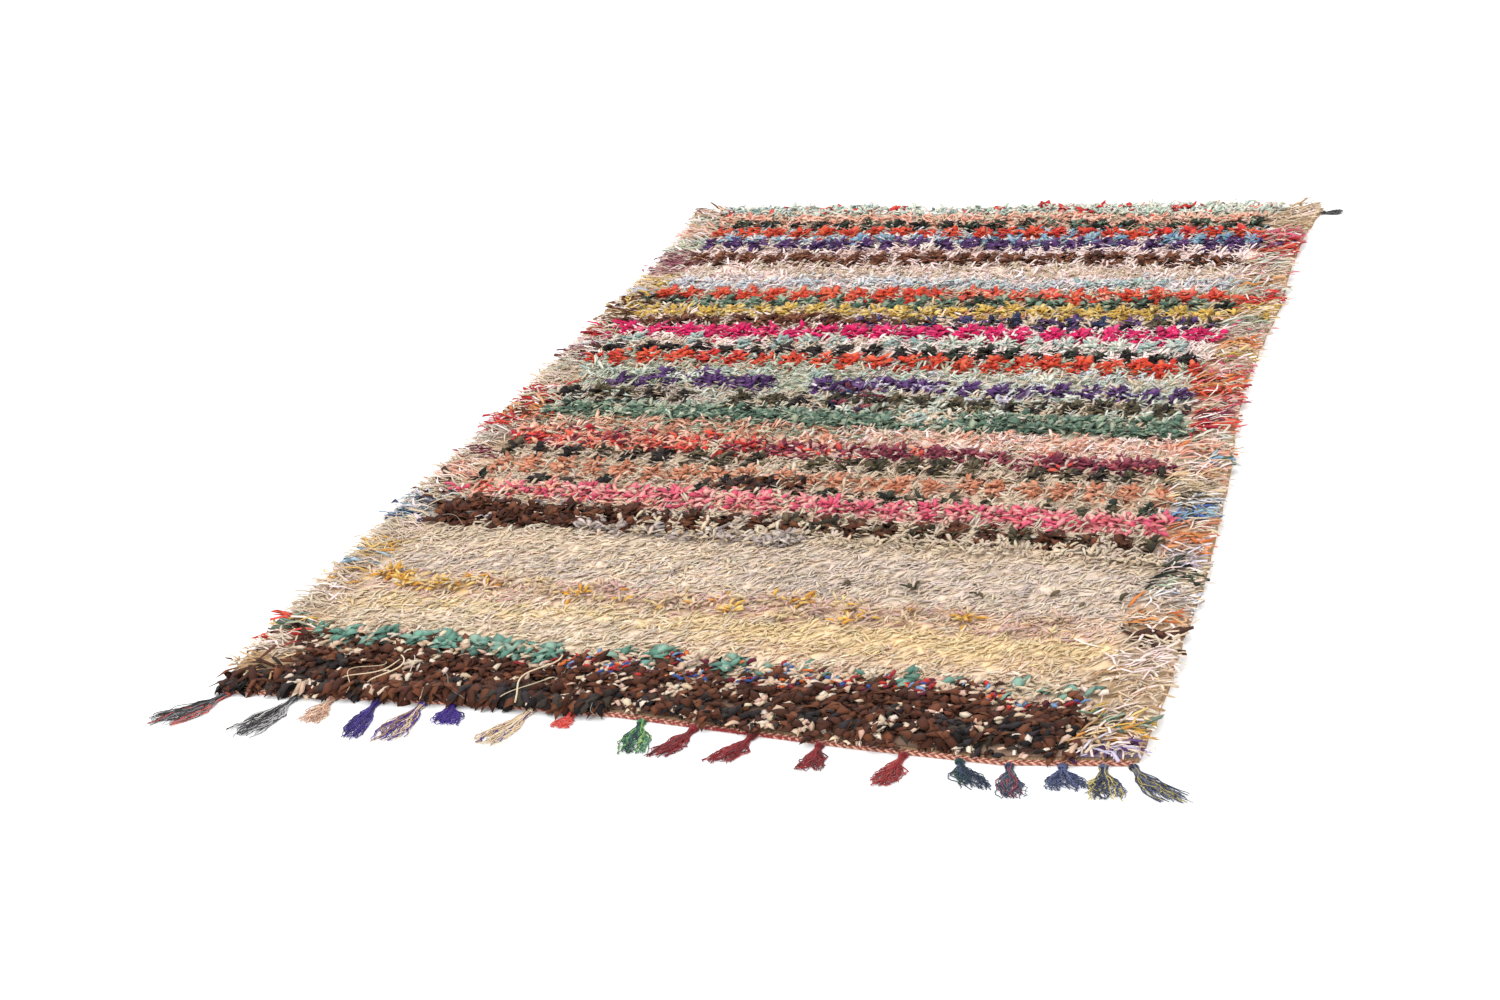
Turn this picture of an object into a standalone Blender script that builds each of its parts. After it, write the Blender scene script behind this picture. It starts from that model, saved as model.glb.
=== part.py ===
"""A boucherouite rug: a knotted rag rug lying flat on the floor, at its real size.

The rug is one lumpy slab of rag pile on its woven ground. Its knot rows run across it as low
ridges, and locks of rag stick out at both sides and along the far end. A flat twined band
finishes the near end. The warp ends behind that band are tied off in tassels, each a knotted
head with its loose strands, and one more tassel is left at the far right corner.

+X runs across the rug, +Y along it from the near end to the far end, and +Z is up. The floor is
z = 0, and the origin is the middle of the whole outline, tassels included. Sizes are in
millimetres until place() turns them into metres.
"""

import math
from collections import namedtuple

import bmesh
import bpy
import numpy as np
from mathutils import Vector

MM = 0.001
GAP = 0.3

# The middle of the outline, tassels and locks included, as seen from the middle of the pile
MIDDLE_U = 8.8
MIDDLE_V = -59.9

# The rug's edges, as measured from the middle of the pile
SideStation = namedtuple("SideStation", "along left right")
SIDES = (
    SideStation(-1190, -738, 736),
    SideStation(-1000, -742, 744),
    SideStation(-850, -736, 742),
    SideStation(-650, -728, 747),
    SideStation(-450, -724, 738),
    SideStation(-250, -716, 730),
    SideStation(-50, -706, 712),
    SideStation(150, -704, 702),
    SideStation(350, -702, 708),
    SideStation(550, -694, 718),
    SideStation(750, -692, 712),
    SideStation(950, -698, 716),
    SideStation(1150, -722, 738),
)
EndStation = namedtuple("EndStation", "across along")
NEAR_END = (
    EndStation(-740, -1172),
    EndStation(-500, -1166),
    EndStation(-250, -1162),
    EndStation(-50, -1168),
    EndStation(150, -1192),
    EndStation(350, -1214),
    EndStation(550, -1228),
    EndStation(740, -1206),
)
FAR_END = (
    EndStation(-725, 1148),
    EndStation(-400, 1156),
    EndStation(-120, 1128),
    EndStation(50, 1150),
    EndStation(400, 1164),
    EndStation(740, 1172),
)

# The pile: rows of rag knots, each a ridge with a dip before the next one
KNOT_ROWS = 44
KNOT_COLUMNS = 50
ROW_CREST = 20.5
ROW_DIP = 16.0
KNOT_STEP = 3.5
RIM_HEIGHT = 12.0

# Waves that make the rows stray and the pile uneven: how large, how long each way, how shifted
Wave = namedtuple("Wave", "size across along shift")
ROW_WANDER = (
    Wave(3.4, 740, 260, 0.0),
    Wave(2.2, 510, -170, 1.9),
)
LUMPS = (
    Wave(1.5, 383, 610, 0.6),
    Wave(1.1, -520, 330, 2.2),
    Wave(1.2, 145, 195, 4.0),
)

# The locks that stick out at the rim, one to so many faces of the wall
LOCKS_AT_SIDES = 2
LOCKS_AT_FAR_END = 3
LOCK_LEAST = 16.0
LOCK_REACH = 24.0
LOCK_SKEW = 9.0
LOCK_TIP_WIDTH = 0.34
LOCK_TIP_HEIGHT = 0.26
LOCK_REACH_TURN = 1.7
LOCK_SKEW_TURN = 2.4
CORNER_CLEAR = 60.0
FACING = 0.8

# The twined band along the near end
BAND_WIDTH = 11.0
BandPoint = namedtuple("BandPoint", "out height")
BAND_SECTION = (
    BandPoint(0.0, 3.2),
    BandPoint(2.5, 5.2),
    BandPoint(8.5, 5.2),
    BandPoint(11.0, 3.2),
)

# A tassel's knotted head, and the strands that leave it in two layers
HEAD_WIDTH = 19.0
HEAD_DEPTH = 15.0
HEAD_HEIGHT = 9.4
HEAD_COLUMNS = 5
HEAD_LAYERS = 2
NECK_PINCH = 0.62
STRAND_SLIM = (0.94, 0.66)
UPPER_LENGTH = 0.86
LENGTH_UNEVEN = 0.12
LENGTH_TURN = 2.1
STRAND_WAVE = 3.0
STRAND_WAVE_TURN = 0.01
LEAN_BEND = 1.3

# Columns: where the head sits along the band, how far sideways the tips lie, the length over
# all, the width over the tips, and the yarn
Tassel = namedtuple("Tassel", "across lean length spread yarn")
NEAR_TASSELS = (
    Tassel(-708, -66, 112, 52, "soot"),
    Tassel(-589, -40, 132, 50, "soot"),
    Tassel(-528, -8, 78, 28, "tan"),
    Tassel(-450, 2, 116, 30, "violet"),
    Tassel(-372, -14, 118, 30, "tan"),
    Tassel(-322, 8, 62, 48, "violet"),
    Tassel(-192, -36, 112, 28, "tan"),
    Tassel(-122, -10, 44, 22, "scarlet"),
    Tassel(-8, 14, 98, 40, "bottle"),
    Tassel(78, -28, 90, 30, "crimson"),
    Tassel(172, -28, 82, 42, "crimson"),
    Tassel(278, 0, 74, 38, "crimson"),
    Tassel(406, -12, 90, 32, "crimson"),
    Tassel(489, 36, 72, 46, "navy"),
    Tassel(561, 22, 88, 32, "navy"),
    Tassel(634, 18, 66, 56, "navy"),
    Tassel(690, 18, 88, 44, "slate"),
    Tassel(731, 66, 86, 42, "slate"),
)
FAR_TASSEL = Tassel(0, 6, 46, 26, "soot")
FAR_TASSEL_ALONG = 1136.0

# Colours in linear light
COLOURS = {
    "rag": (0.62, 0.47, 0.34),
    "band": (0.56, 0.27, 0.19),
    "scarlet": (0.42, 0.08, 0.06),
    "soot": (0.06, 0.06, 0.06),
    "tan": (0.45, 0.33, 0.22),
    "violet": (0.06, 0.03, 0.20),
    "bottle": (0.04, 0.10, 0.07),
    "crimson": (0.26, 0.02, 0.02),
    "navy": (0.04, 0.05, 0.10),
    "slate": (0.09, 0.09, 0.14),
}


def clear_scene():
    for old in list(bpy.data.objects):
        bpy.data.objects.remove(old, do_unlink=True)


def yarn_material(name):
    """A matt fibre in one of the rug's colours, made once."""
    material = bpy.data.materials.get(name)
    if material is None:
        material = bpy.data.materials.new(name)
        material.use_nodes = True
        shader = material.node_tree.nodes["Principled BSDF"]
        shader.inputs["Base Color"].default_value = (*COLOURS[name], 1.0)
        shader.inputs["Roughness"].default_value = 0.95
        shader.inputs["Metallic"].default_value = 0.0
        material.diffuse_color = (*COLOURS[name], 1.0)
    return material


def left_edge(along):
    return np.interp(along, [s.along for s in SIDES], [s.left for s in SIDES])


def right_edge(along):
    return np.interp(along, [s.along for s in SIDES], [s.right for s in SIDES])


def near_end(across):
    return np.interp(across, [s.across for s in NEAR_END], [s.along for s in NEAR_END])


def far_end(across):
    return np.interp(across, [s.across for s in FAR_END], [s.along for s in FAR_END])


def place(across, along, height):
    """A point of the rug, in millimetres from the middle of its pile, as a point in metres."""
    return Vector((across - MIDDLE_U, along - MIDDLE_V, height)) * MM


def pile_point(share_across, share_along):
    """The point of the outline's own grid at these shares of its width and length."""
    middle = SIDES[0].along + share_along * (SIDES[-1].along - SIDES[0].along)
    width = right_edge(middle) - left_edge(middle)
    across = left_edge(middle) + share_across * width
    length = far_end(across) - near_end(across)
    return across, near_end(across) + share_along * length


def ripple(waves, across, along):
    """The sum of these waves at a point of the rug."""
    total = 0.0
    for wave in waves:
        turns = across / wave.across + along / wave.along
        total += wave.size * math.sin(2 * math.pi * turns + wave.shift)
    return total


def pile_height(column, line, across, along):
    """Ridges along the knot rows, every other knot a little higher, and slow uneven lumps."""
    raised = KNOT_STEP * ((column + line // 2) % 2)
    base = ROW_CREST + raised if line % 2 == 1 else ROW_DIP
    return base + ripple(LUMPS, across, along)


def shape_pile(bm):
    """Lays a flat grid out over the rug's outline and raises its ridges and lumps."""
    lines = 2 * KNOT_ROWS
    bmesh.ops.create_grid(bm, x_segments=KNOT_COLUMNS, y_segments=lines, size=1.0)
    for vert in bm.verts:
        share_across = (vert.co.x + 1) / 2
        share_along = (vert.co.y + 1) / 2
        column = round(share_across * KNOT_COLUMNS)
        line = round(share_along * lines)
        across, along = pile_point(share_across, share_along)
        height = RIM_HEIGHT
        if 0 < column < KNOT_COLUMNS and 0 < line < lines:
            along += ripple(ROW_WANDER, across, along)
            height = pile_height(column, line, across, along)
        vert.co = place(across, along, height)


def close_under(bm):
    """Drops a wall from the rim to the floor and closes the rug underneath; returns the wall."""
    rim = [edge for edge in bm.edges if edge.is_boundary]
    drawn = bmesh.ops.extrude_edge_only(bm, edges=rim)["geom"]
    for vert in drawn:
        if isinstance(vert, bmesh.types.BMVert):
            vert.co.z = 0.0
    wall = [face for face in drawn if isinstance(face, bmesh.types.BMFace)]
    foot = [edge for edge in bm.edges if edge.is_boundary]
    bmesh.ops.contextual_create(bm, geom=foot)
    bmesh.ops.recalc_face_normals(bm, faces=bm.faces)
    return wall


def lock_faces(wall):
    """Faces of the wall spread along the left side, the right side and the far end."""
    corner = place(SIDES[-1].right, SIDES[-1].along, 0)
    left = []
    right = []
    far = []
    for face in wall:
        centre = face.calc_center_median()
        if (centre - corner).length < CORNER_CLEAR * MM:
            continue
        if face.normal.x < -FACING:
            left.append((centre.y, face))
        elif face.normal.x > FACING:
            right.append((centre.y, face))
        elif face.normal.y > FACING:
            far.append((centre.x, face))
    chosen = []
    for side, every in ((left, LOCKS_AT_SIDES), (right, LOCKS_AT_SIDES), (far, LOCKS_AT_FAR_END)):
        side.sort(key=lambda entry: entry[0])
        chosen += [face for _, face in side[::every]]
    return chosen


def draw_out_locks(bm, faces):
    """Pulls each of these wall faces out into one tapering lock that lies on the floor."""
    drawn = bmesh.ops.extrude_discrete_faces(bm, faces=faces)["faces"]
    for count, face in enumerate(drawn):
        centre = face.calc_center_median()
        outward = Vector((face.normal.x, face.normal.y, 0)).normalized()
        aside = Vector((-outward.y, outward.x, 0))
        skew = LOCK_SKEW * math.sin(LOCK_SKEW_TURN * count)
        reach = LOCK_LEAST + LOCK_REACH * abs(math.sin(LOCK_REACH_TURN * count))
        tip = centre + (outward * reach + aside * skew) * MM
        for vert in face.verts:
            offset = vert.co - centre
            sideways = aside * offset.dot(aside) * LOCK_TIP_WIDTH
            vert.co = Vector((tip.x, tip.y, vert.co.z * LOCK_TIP_HEIGHT)) + sideways


def make_object(name, mesh, yarn, collection):
    made = bpy.data.objects.new(name, mesh)
    made.data.materials.append(yarn_material(yarn))
    collection.objects.link(made)
    return made


def build_pile(collection):
    bm = bmesh.new()
    shape_pile(bm)
    wall = close_under(bm)
    draw_out_locks(bm, lock_faces(wall))
    mesh = bpy.data.meshes.new("pile_rug")
    bm.to_mesh(mesh)
    bm.free()
    return make_object("pile_rug", mesh, "rag", collection)


def shape_band(bm):
    """A strip that follows the near end, its back and front edges lower than its middle."""
    bmesh.ops.create_grid(bm, x_segments=KNOT_COLUMNS, y_segments=len(BAND_SECTION) - 1, size=1.0)
    for vert in bm.verts:
        across, _ = pile_point((vert.co.x + 1) / 2, 0.0)
        line = round((vert.co.y + 1) / 2 * (len(BAND_SECTION) - 1))
        out, height = BAND_SECTION[line]
        vert.co = place(across, near_end(across) - GAP - BAND_WIDTH + out, height)


def build_end_band(collection):
    bm = bmesh.new()
    shape_band(bm)
    close_under(bm)
    mesh = bpy.data.meshes.new("end_band")
    bm.to_mesh(mesh)
    bm.free()
    return make_object("end_band", mesh, "band", collection)


def knot_head(bm):
    """A small flattened knot: a grid at the front, thickened backwards and pinched at its neck."""
    bmesh.ops.create_grid(bm, x_segments=HEAD_COLUMNS, y_segments=HEAD_LAYERS, size=0.5)
    for vert in bm.verts:
        share = vert.co.y + 0.5
        vert.co = Vector((vert.co.x * HEAD_WIDTH, -HEAD_DEPTH, share * HEAD_HEIGHT)) * MM
    bmesh.ops.recalc_face_normals(bm, faces=bm.faces)
    if next(iter(bm.faces)).normal.y > 0:
        bmesh.ops.reverse_faces(bm, faces=bm.faces)
    bmesh.ops.solidify(bm, geom=bm.faces, thickness=HEAD_DEPTH * MM)
    bmesh.ops.recalc_face_normals(bm, faces=bm.faces)
    for vert in bm.verts:
        if vert.co.y > -HEAD_DEPTH * MM / 2:
            vert.co.x *= NECK_PINCH


def strand_centre(column, layer, share, tassel):
    """Where a strand's middle lies at this share of its length: fanned out, leaning and wavy."""
    at_head = HEAD_WIDTH * (HEAD_COLUMNS - 1) / HEAD_COLUMNS
    width = at_head + (tassel.spread - at_head) * share
    fan = (column / (HEAD_COLUMNS - 1) - 0.5) * width
    wave = STRAND_WAVE * share * math.sin(math.pi * share + STRAND_WAVE_TURN * tassel.across)
    turn = LENGTH_TURN * (column + HEAD_COLUMNS * layer) + tassel.across
    cut = (UPPER_LENGTH if layer else 1.0) * (1.0 - LENGTH_UNEVEN * abs(math.sin(turn)))
    length = (tassel.length - HEAD_DEPTH) * share * cut
    return fan + tassel.lean * share**LEAN_BEND + wave, -HEAD_DEPTH - length


def front_faces(bm):
    """The head's front faces, the lower layer first and each layer from left to right."""
    front = [(face.calc_center_median(), face) for face in bm.faces if face.normal.y < -0.9]
    front.sort(key=lambda entry: (round(entry[0].z / MM), entry[0].x))
    return [face for _, face in front]


def strand_step(face, number, share, slim, tassel):
    """Moves one strand's end face to its place at this share of the strand's length."""
    layer, column = divmod(number, HEAD_COLUMNS)
    across, along = strand_centre(column, layer, share, tassel)
    width = HEAD_WIDTH / HEAD_COLUMNS * slim
    height = HEAD_HEIGHT / HEAD_LAYERS * slim - GAP
    foot = layer * (height + GAP)
    middle = face.calc_center_median()
    for vert in face.verts:
        side = 0.5 if vert.co.x > middle.x else -0.5
        top = height if vert.co.z > middle.z else 0.0
        vert.co = Vector((across + side * width, along, foot + top)) * MM


def draw_out_strands(bm, tassel):
    """Pulls each front face of the head out into one strand, step by step."""
    strand = bm.faces.layers.int.new("strand")
    faces = front_faces(bm)
    for number, face in enumerate(faces):
        face[strand] = number
    for step, slim in enumerate(STRAND_SLIM, start=1):
        faces = bmesh.ops.extrude_discrete_faces(bm, faces=faces)["faces"]
        for face in faces:
            strand_step(face, face[strand], step / len(STRAND_SLIM), slim, tassel)


def build_tassel(name, tassel, collection):
    bm = bmesh.new()
    knot_head(bm)
    draw_out_strands(bm, tassel)
    mesh = bpy.data.meshes.new(name)
    bm.to_mesh(mesh)
    bm.free()
    return make_object(name, mesh, tassel.yarn, collection)


def head_reach(middle):
    """Places across a head's width, from which the foremost point behind it is found."""
    return np.linspace(middle - HEAD_WIDTH / 2, middle + HEAD_WIDTH / 2, 7)


def band_front(across):
    """The furthest out that the band's outer edge comes behind a head centred here."""
    line = [pile_point(column / KNOT_COLUMNS, 0.0) for column in range(KNOT_COLUMNS + 1)]
    edge = np.interp(head_reach(across), [u for u, _ in line], [v for _, v in line])
    return float(edge.min()) - GAP - BAND_WIDTH


def side_front(along):
    """The furthest out that the pile's right side comes behind a head centred here."""
    line = [pile_point(1.0, step / KNOT_ROWS / 2) for step in range(2 * KNOT_ROWS + 1)]
    edge = np.interp(head_reach(along), [v for _, v in line], [u for u, _ in line])
    return float(edge.max())


def build_tassels(collection):
    for number, tassel in enumerate(NEAR_TASSELS, start=1):
        made = build_tassel(f"tassel_{number:02d}", tassel, collection)
        made.location = place(tassel.across, band_front(tassel.across) - GAP, 0)


def build_far_tassel(collection):
    """The one tassel left at the far right corner, turned to lie out to the right."""
    made = build_tassel("tassel_far_corner", FAR_TASSEL, collection)
    made.rotation_euler.z = math.pi / 2
    made.location = place(side_front(FAR_TASSEL_ALONG) + GAP, FAR_TASSEL_ALONG, 0)


def main():
    clear_scene()
    rug = bpy.data.collections.new("boucherouite_rug")
    bpy.context.scene.collection.children.link(rug)
    build_pile(rug)
    build_end_band(rug)
    build_tassels(rug)
    build_far_tassel(rug)


if __name__ == "__main__":
    main()
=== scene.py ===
"""Looks of a boucherouite rug: rag pile, ground cloth, end band, tassels and a studio to see it in.

The rug lies on the floor z = 0, +X across it and +Y along it from the near end to the far end.
Places on it are given as (across, along) in metres from the middle of its pile, and to_row()
turns them into the row frame. Every piece is worked out as whole numpy arrays.
"""

import math
from collections import namedtuple

import bpy
import numpy as np
from mathutils import Matrix, Vector


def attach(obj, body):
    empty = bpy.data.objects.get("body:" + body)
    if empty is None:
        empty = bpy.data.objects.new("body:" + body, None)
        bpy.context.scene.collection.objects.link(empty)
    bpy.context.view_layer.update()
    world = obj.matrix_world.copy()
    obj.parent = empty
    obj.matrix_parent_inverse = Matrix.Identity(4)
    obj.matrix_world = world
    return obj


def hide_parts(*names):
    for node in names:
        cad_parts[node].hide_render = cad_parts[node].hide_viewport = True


bl_info = {
    "name": "Boucherouite Rug",
    "version": (1, 0, 0),
    "blender": (4, 5, 0),
    "location": "View3D > Sidebar > Rug",
    "description": "Builds the rag pile, ground cloth, end band and tassels of a knotted rag rug",
    "category": "Add Mesh",
}

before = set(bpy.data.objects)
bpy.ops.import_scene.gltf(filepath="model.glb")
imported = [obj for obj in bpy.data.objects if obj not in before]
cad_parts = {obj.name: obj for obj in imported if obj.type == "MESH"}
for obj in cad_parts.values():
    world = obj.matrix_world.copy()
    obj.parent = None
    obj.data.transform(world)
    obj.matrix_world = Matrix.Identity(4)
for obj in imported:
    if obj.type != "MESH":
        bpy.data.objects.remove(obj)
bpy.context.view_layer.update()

MM = 0.001
SEED = 23


def listed(kind, *values):
    """A table whose rows are named tuples of one kind."""
    return tuple(kind(*row) for row in values)


# Where the middle of the pile lies in the row frame, with its sign changed
MIDDLE = np.array([8.8, -59.9]) * MM

# The rug's edges in millimetres from the middle of the pile
SideStation = namedtuple("SideStation", "along left right")
SIDES = listed(
    SideStation,
    (-1190, -738, 736),
    (-1000, -742, 744),
    (-850, -736, 742),
    (-650, -728, 747),
    (-450, -724, 738),
    (-250, -716, 730),
    (-50, -706, 712),
    (150, -704, 702),
    (350, -702, 708),
    (550, -694, 718),
    (750, -692, 712),
    (950, -698, 716),
    (1150, -722, 738),
)
EndStation = namedtuple("EndStation", "across along")
NEAR_END = listed(
    EndStation,
    (-740, -1172),
    (-500, -1166),
    (-250, -1162),
    (-50, -1168),
    (150, -1192),
    (350, -1214),
    (550, -1228),
    (740, -1206),
)
FAR_END = listed(
    EndStation,
    (-725, 1148),
    (-400, 1156),
    (-120, 1128),
    (50, 1150),
    (400, 1164),
    (740, 1172),
)

# The knots: rows of them along the rug, and their columns across it
KNOT_ROWS = 88
KNOT_COLUMNS = 50
# How far knots are off their places, across and along, in metres
KNOT_WANDER = (0.0028, 0.0024)
Wave = namedtuple("Wave", "size across along shift")
ROW_WANDER = listed(
    Wave,
    (3.4, 740, 260, 0.0),
    (2.2, 510, -170, 1.9),
)
LUMPS = listed(
    Wave,
    (1.5, 383, 610, 0.6),
    (1.1, -520, 330, 2.2),
    (1.2, 145, 195, 4.0),
)

# How far the rows of knots lie farther along at the left side than in the middle, in millimetres
Drift = namedtuple("Drift", "along left")
ROW_DRIFT = listed(
    Drift,
    (-1190, 0),
    (-1050, 28),
    (-480, 38),
    (-400, 26),
    (-180, 34),
    (-60, 24),
    (220, 13),
    (360, 0),
)

# Rags as they are cut and dyed. Columns: the piece they are joined in, strip width and length in
# millimetres, strips to a knot, and the dyes seen in one lot of rags
Rag = namedtuple("Rag", "piece width length count dyes")
RAGS = {
    "cream": Rag("cream", 4.8, 25, 10.5, "CDB99F D0BDA5 C9B499 D2C2AD C5AE92"),
    "peach": Rag("blush", 4.0, 25, 12, "CCB094 CBAC90 CDB49A C5A78B CAB096"),
    "butter": Rag("yellow", 4.0, 25, 12, "D7BE92 D6BB8D D8C39D D1B78A D4BC97"),
    "mauve": Rag("blush", 4.0, 25, 12, "CBA59A CEADA1 C59B90 D0B4A6 C3A199"),
    "ochre": Rag("yellow", 4.6, 28, 11, "D4A64A C4913B DDB972 CB8C35"),
    "grey_white": Rag("cream", 4.0, 25, 12, "C2B2A6 C6B9AD BCAA9F C4B3A6 B8A69A"),
    "beige": Rag("cream", 4.0, 25, 12, "C7B49E C2AE96 CDBBA9 BCA891 C7B6A7"),
    "grey_lilac": Rag("green", 7.0, 25, 9, "B0A29C A09089 C6B8AE 8E807C"),
    "cream_rag": Rag("cream", 7.5, 22, 8, "CCB599 D4BFA6 C4A78C D8C5B3 C7A28F"),
    "brown": Rag("dark", 12.0, 24, 6, "523023 5F3828 40251B 6C412D 482B21"),
    "black": Rag("dark", 9.0, 23, 7, "282222 342D2F 1D1919 3D352F"),
    "red": Rag("red", 8.0, 25, 9, "C8362E B22A2A D9503F 9E2430"),
    "scrap": Rag("red", 5.0, 21, 12, "B8362E 8E2A30 CF6A35 5C2232 36508C 6F90B5 40251B D0B59C"),
    "blue": Rag("green", 7.0, 25, 9, "36508C 46639F 2B3E6E 6F90B5"),
    "teal": Rag("green", 12.0, 29, 9, "689181 5A8574 7F9E8E 507768"),
    "pink": Rag("red", 7.0, 27, 11, "D7727A D35975 DE8D8E C94E66 D8A49A"),
    "coral": Rag("red", 7.0, 26, 10, "CF5D49 D47C67 C74840 DB9C82"),
    "pine": Rag("dark", 7.0, 26, 10, "343C32 41483B 28312A 222521"),
    "caramel": Rag("yellow", 6.0, 26, 11, "C07C5E CC8D6F B06949 D39E82"),
    "olive": Rag("dark", 7.0, 26, 10, "474132 5A503B 353127 685B46"),
    "plum": Rag("red", 6.5, 26, 11, "7D3344 6C2739 914451 5C2232 A44F54"),
    "salmon": Rag("yellow", 5.5, 26, 11, "E4A48F EAB59C D8917A EFC6B4"),
    "bottle": Rag("green", 8.0, 25, 9, "5F7765 4E6855 7B8F7B 415A4A 99A189"),
    "mint": Rag("green", 5.2, 26, 10, "C2CABC CED0C2 B2C0B0 D9D6C9"),
    "purple": Rag("dark", 7.0, 27, 11, "4C2F5D 5C3D71 3D254C 6A4D79"),
    "lavender": Rag("blush", 5.0, 26, 11, "B9AFC6 CFC6D3 A79BBB D9D0D6"),
    "vermilion": Rag("red", 7.5, 27, 11, "CF4B2E C83C25 D76344 BA392D"),
    "pale_teal": Rag("green", 6.0, 26, 11, "97AEA9 AEBCB4 829F9C C7C7BC"),
    "magenta": Rag("red", 7.5, 27, 11, "D81E64 C81658 E34078 B9285C"),
    "navy": Rag("dark", 7.0, 26, 10, "2C3350 39405E 232840 4A4F70"),
    "mustard": Rag("yellow", 6.0, 27, 11, "D3B059 C59F44 DCC07D B69341"),
    "blue_grey": Rag("green", 5.0, 26, 11, "C7C8CE D4D2D3 B4BBC4 E2DAD4"),
    "blush": Rag("blush", 5.0, 26, 11, "F3DAD4 F5E2DC EDD2C9 F4DDD8"),
    "chocolate": Rag("dark", 7.0, 26, 11, "754835 623B2C 875741 533226"),
    "sky": Rag("green", 6.5, 27, 10, "82A3B5 7294AC 9BB2BE 6085A1"),
    "sage": Rag("green", 5.5, 26, 11, "9AA68C AEB79E 858F78 C2C7B0"),
    "orange": Rag("yellow", 6.5, 27, 10, "CF7735 D68D4F C06430 DCA476"),
    "dusk": Rag("red", 5.0, 26, 11, "A0606E 8E5060 B47A84 7A4050"),
    "tan": Rag("yellow", 5.0, 26, 11, "C9A982 BD9A70 D6BA96 AE8A62"),
}

# What fills each stretch of the rug between its dots: from this many millimetres along upwards,
# in the left part and in the right part. Names joined by + are mixed strip by strip, and a
# name with *3 counts three times.
Ground = namedtuple("Ground", "along left right")
GROUNDS = listed(
    Ground,
    (-1260, "cream_rag+brown+beige", "cream_rag+brown*2+black"),
    (-1165, "cream_rag+brown", "cream_rag+brown"),
    (-1085, "cream_rag+cream", "cream_rag+peach"),
    (-1058, "cream", "peach+cream"),
    (-965, "cream+beige", "butter+peach"),
    (-925, "cream+butter", "butter"),
    (-865, "cream+mauve", "mauve+peach+beige+peach"),
    (-790, "grey_white+cream", "grey_white+beige"),
    (-700, "beige+cream", "beige+grey_white"),
    (-620, "cream+beige", "cream+beige"),
    (-585, "cream+grey_lilac", "cream+beige"),
    (-500, "cream+salmon", "cream+beige"),
    (-400, "cream+beige+cream_rag", "cream+beige+cream_rag"),
    (-240, "salmon+cream+caramel", "salmon+cream+mauve+blush+cream"),
    (-182, "salmon+cream+caramel+sage", "salmon+cream+blush"),
    (-112, "cream+sage+bottle", "cream+bottle"),
    (-52, "cream+mint+grey_white", "mint+cream"),
    (50, "mint+cream+sage", "mint*2+cream+blue_grey"),
    (165, "mint+cream+sage", "mint+cream+sage"),
    (225, "blush+cream", "blush"),
    (420, "cream+blush", "cream+salmon"),
    (480, "cream", "cream+butter"),
    (590, "cream+mint", "cream+mint"),
    (605, "blue_grey+blush", "blue_grey+blush"),
    (680, "blush+cream", "blush+cream"),
    (765, "blush+mauve", "blush"),
    (860, "blush+cream", "blush"),
    (935, "cream+blue_grey", "cream+sky+blue_grey"),
    (990, "cream+salmon", "cream+salmon"),
    (1085, "mint+cream", "mint+cream+salmon"),
)

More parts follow.
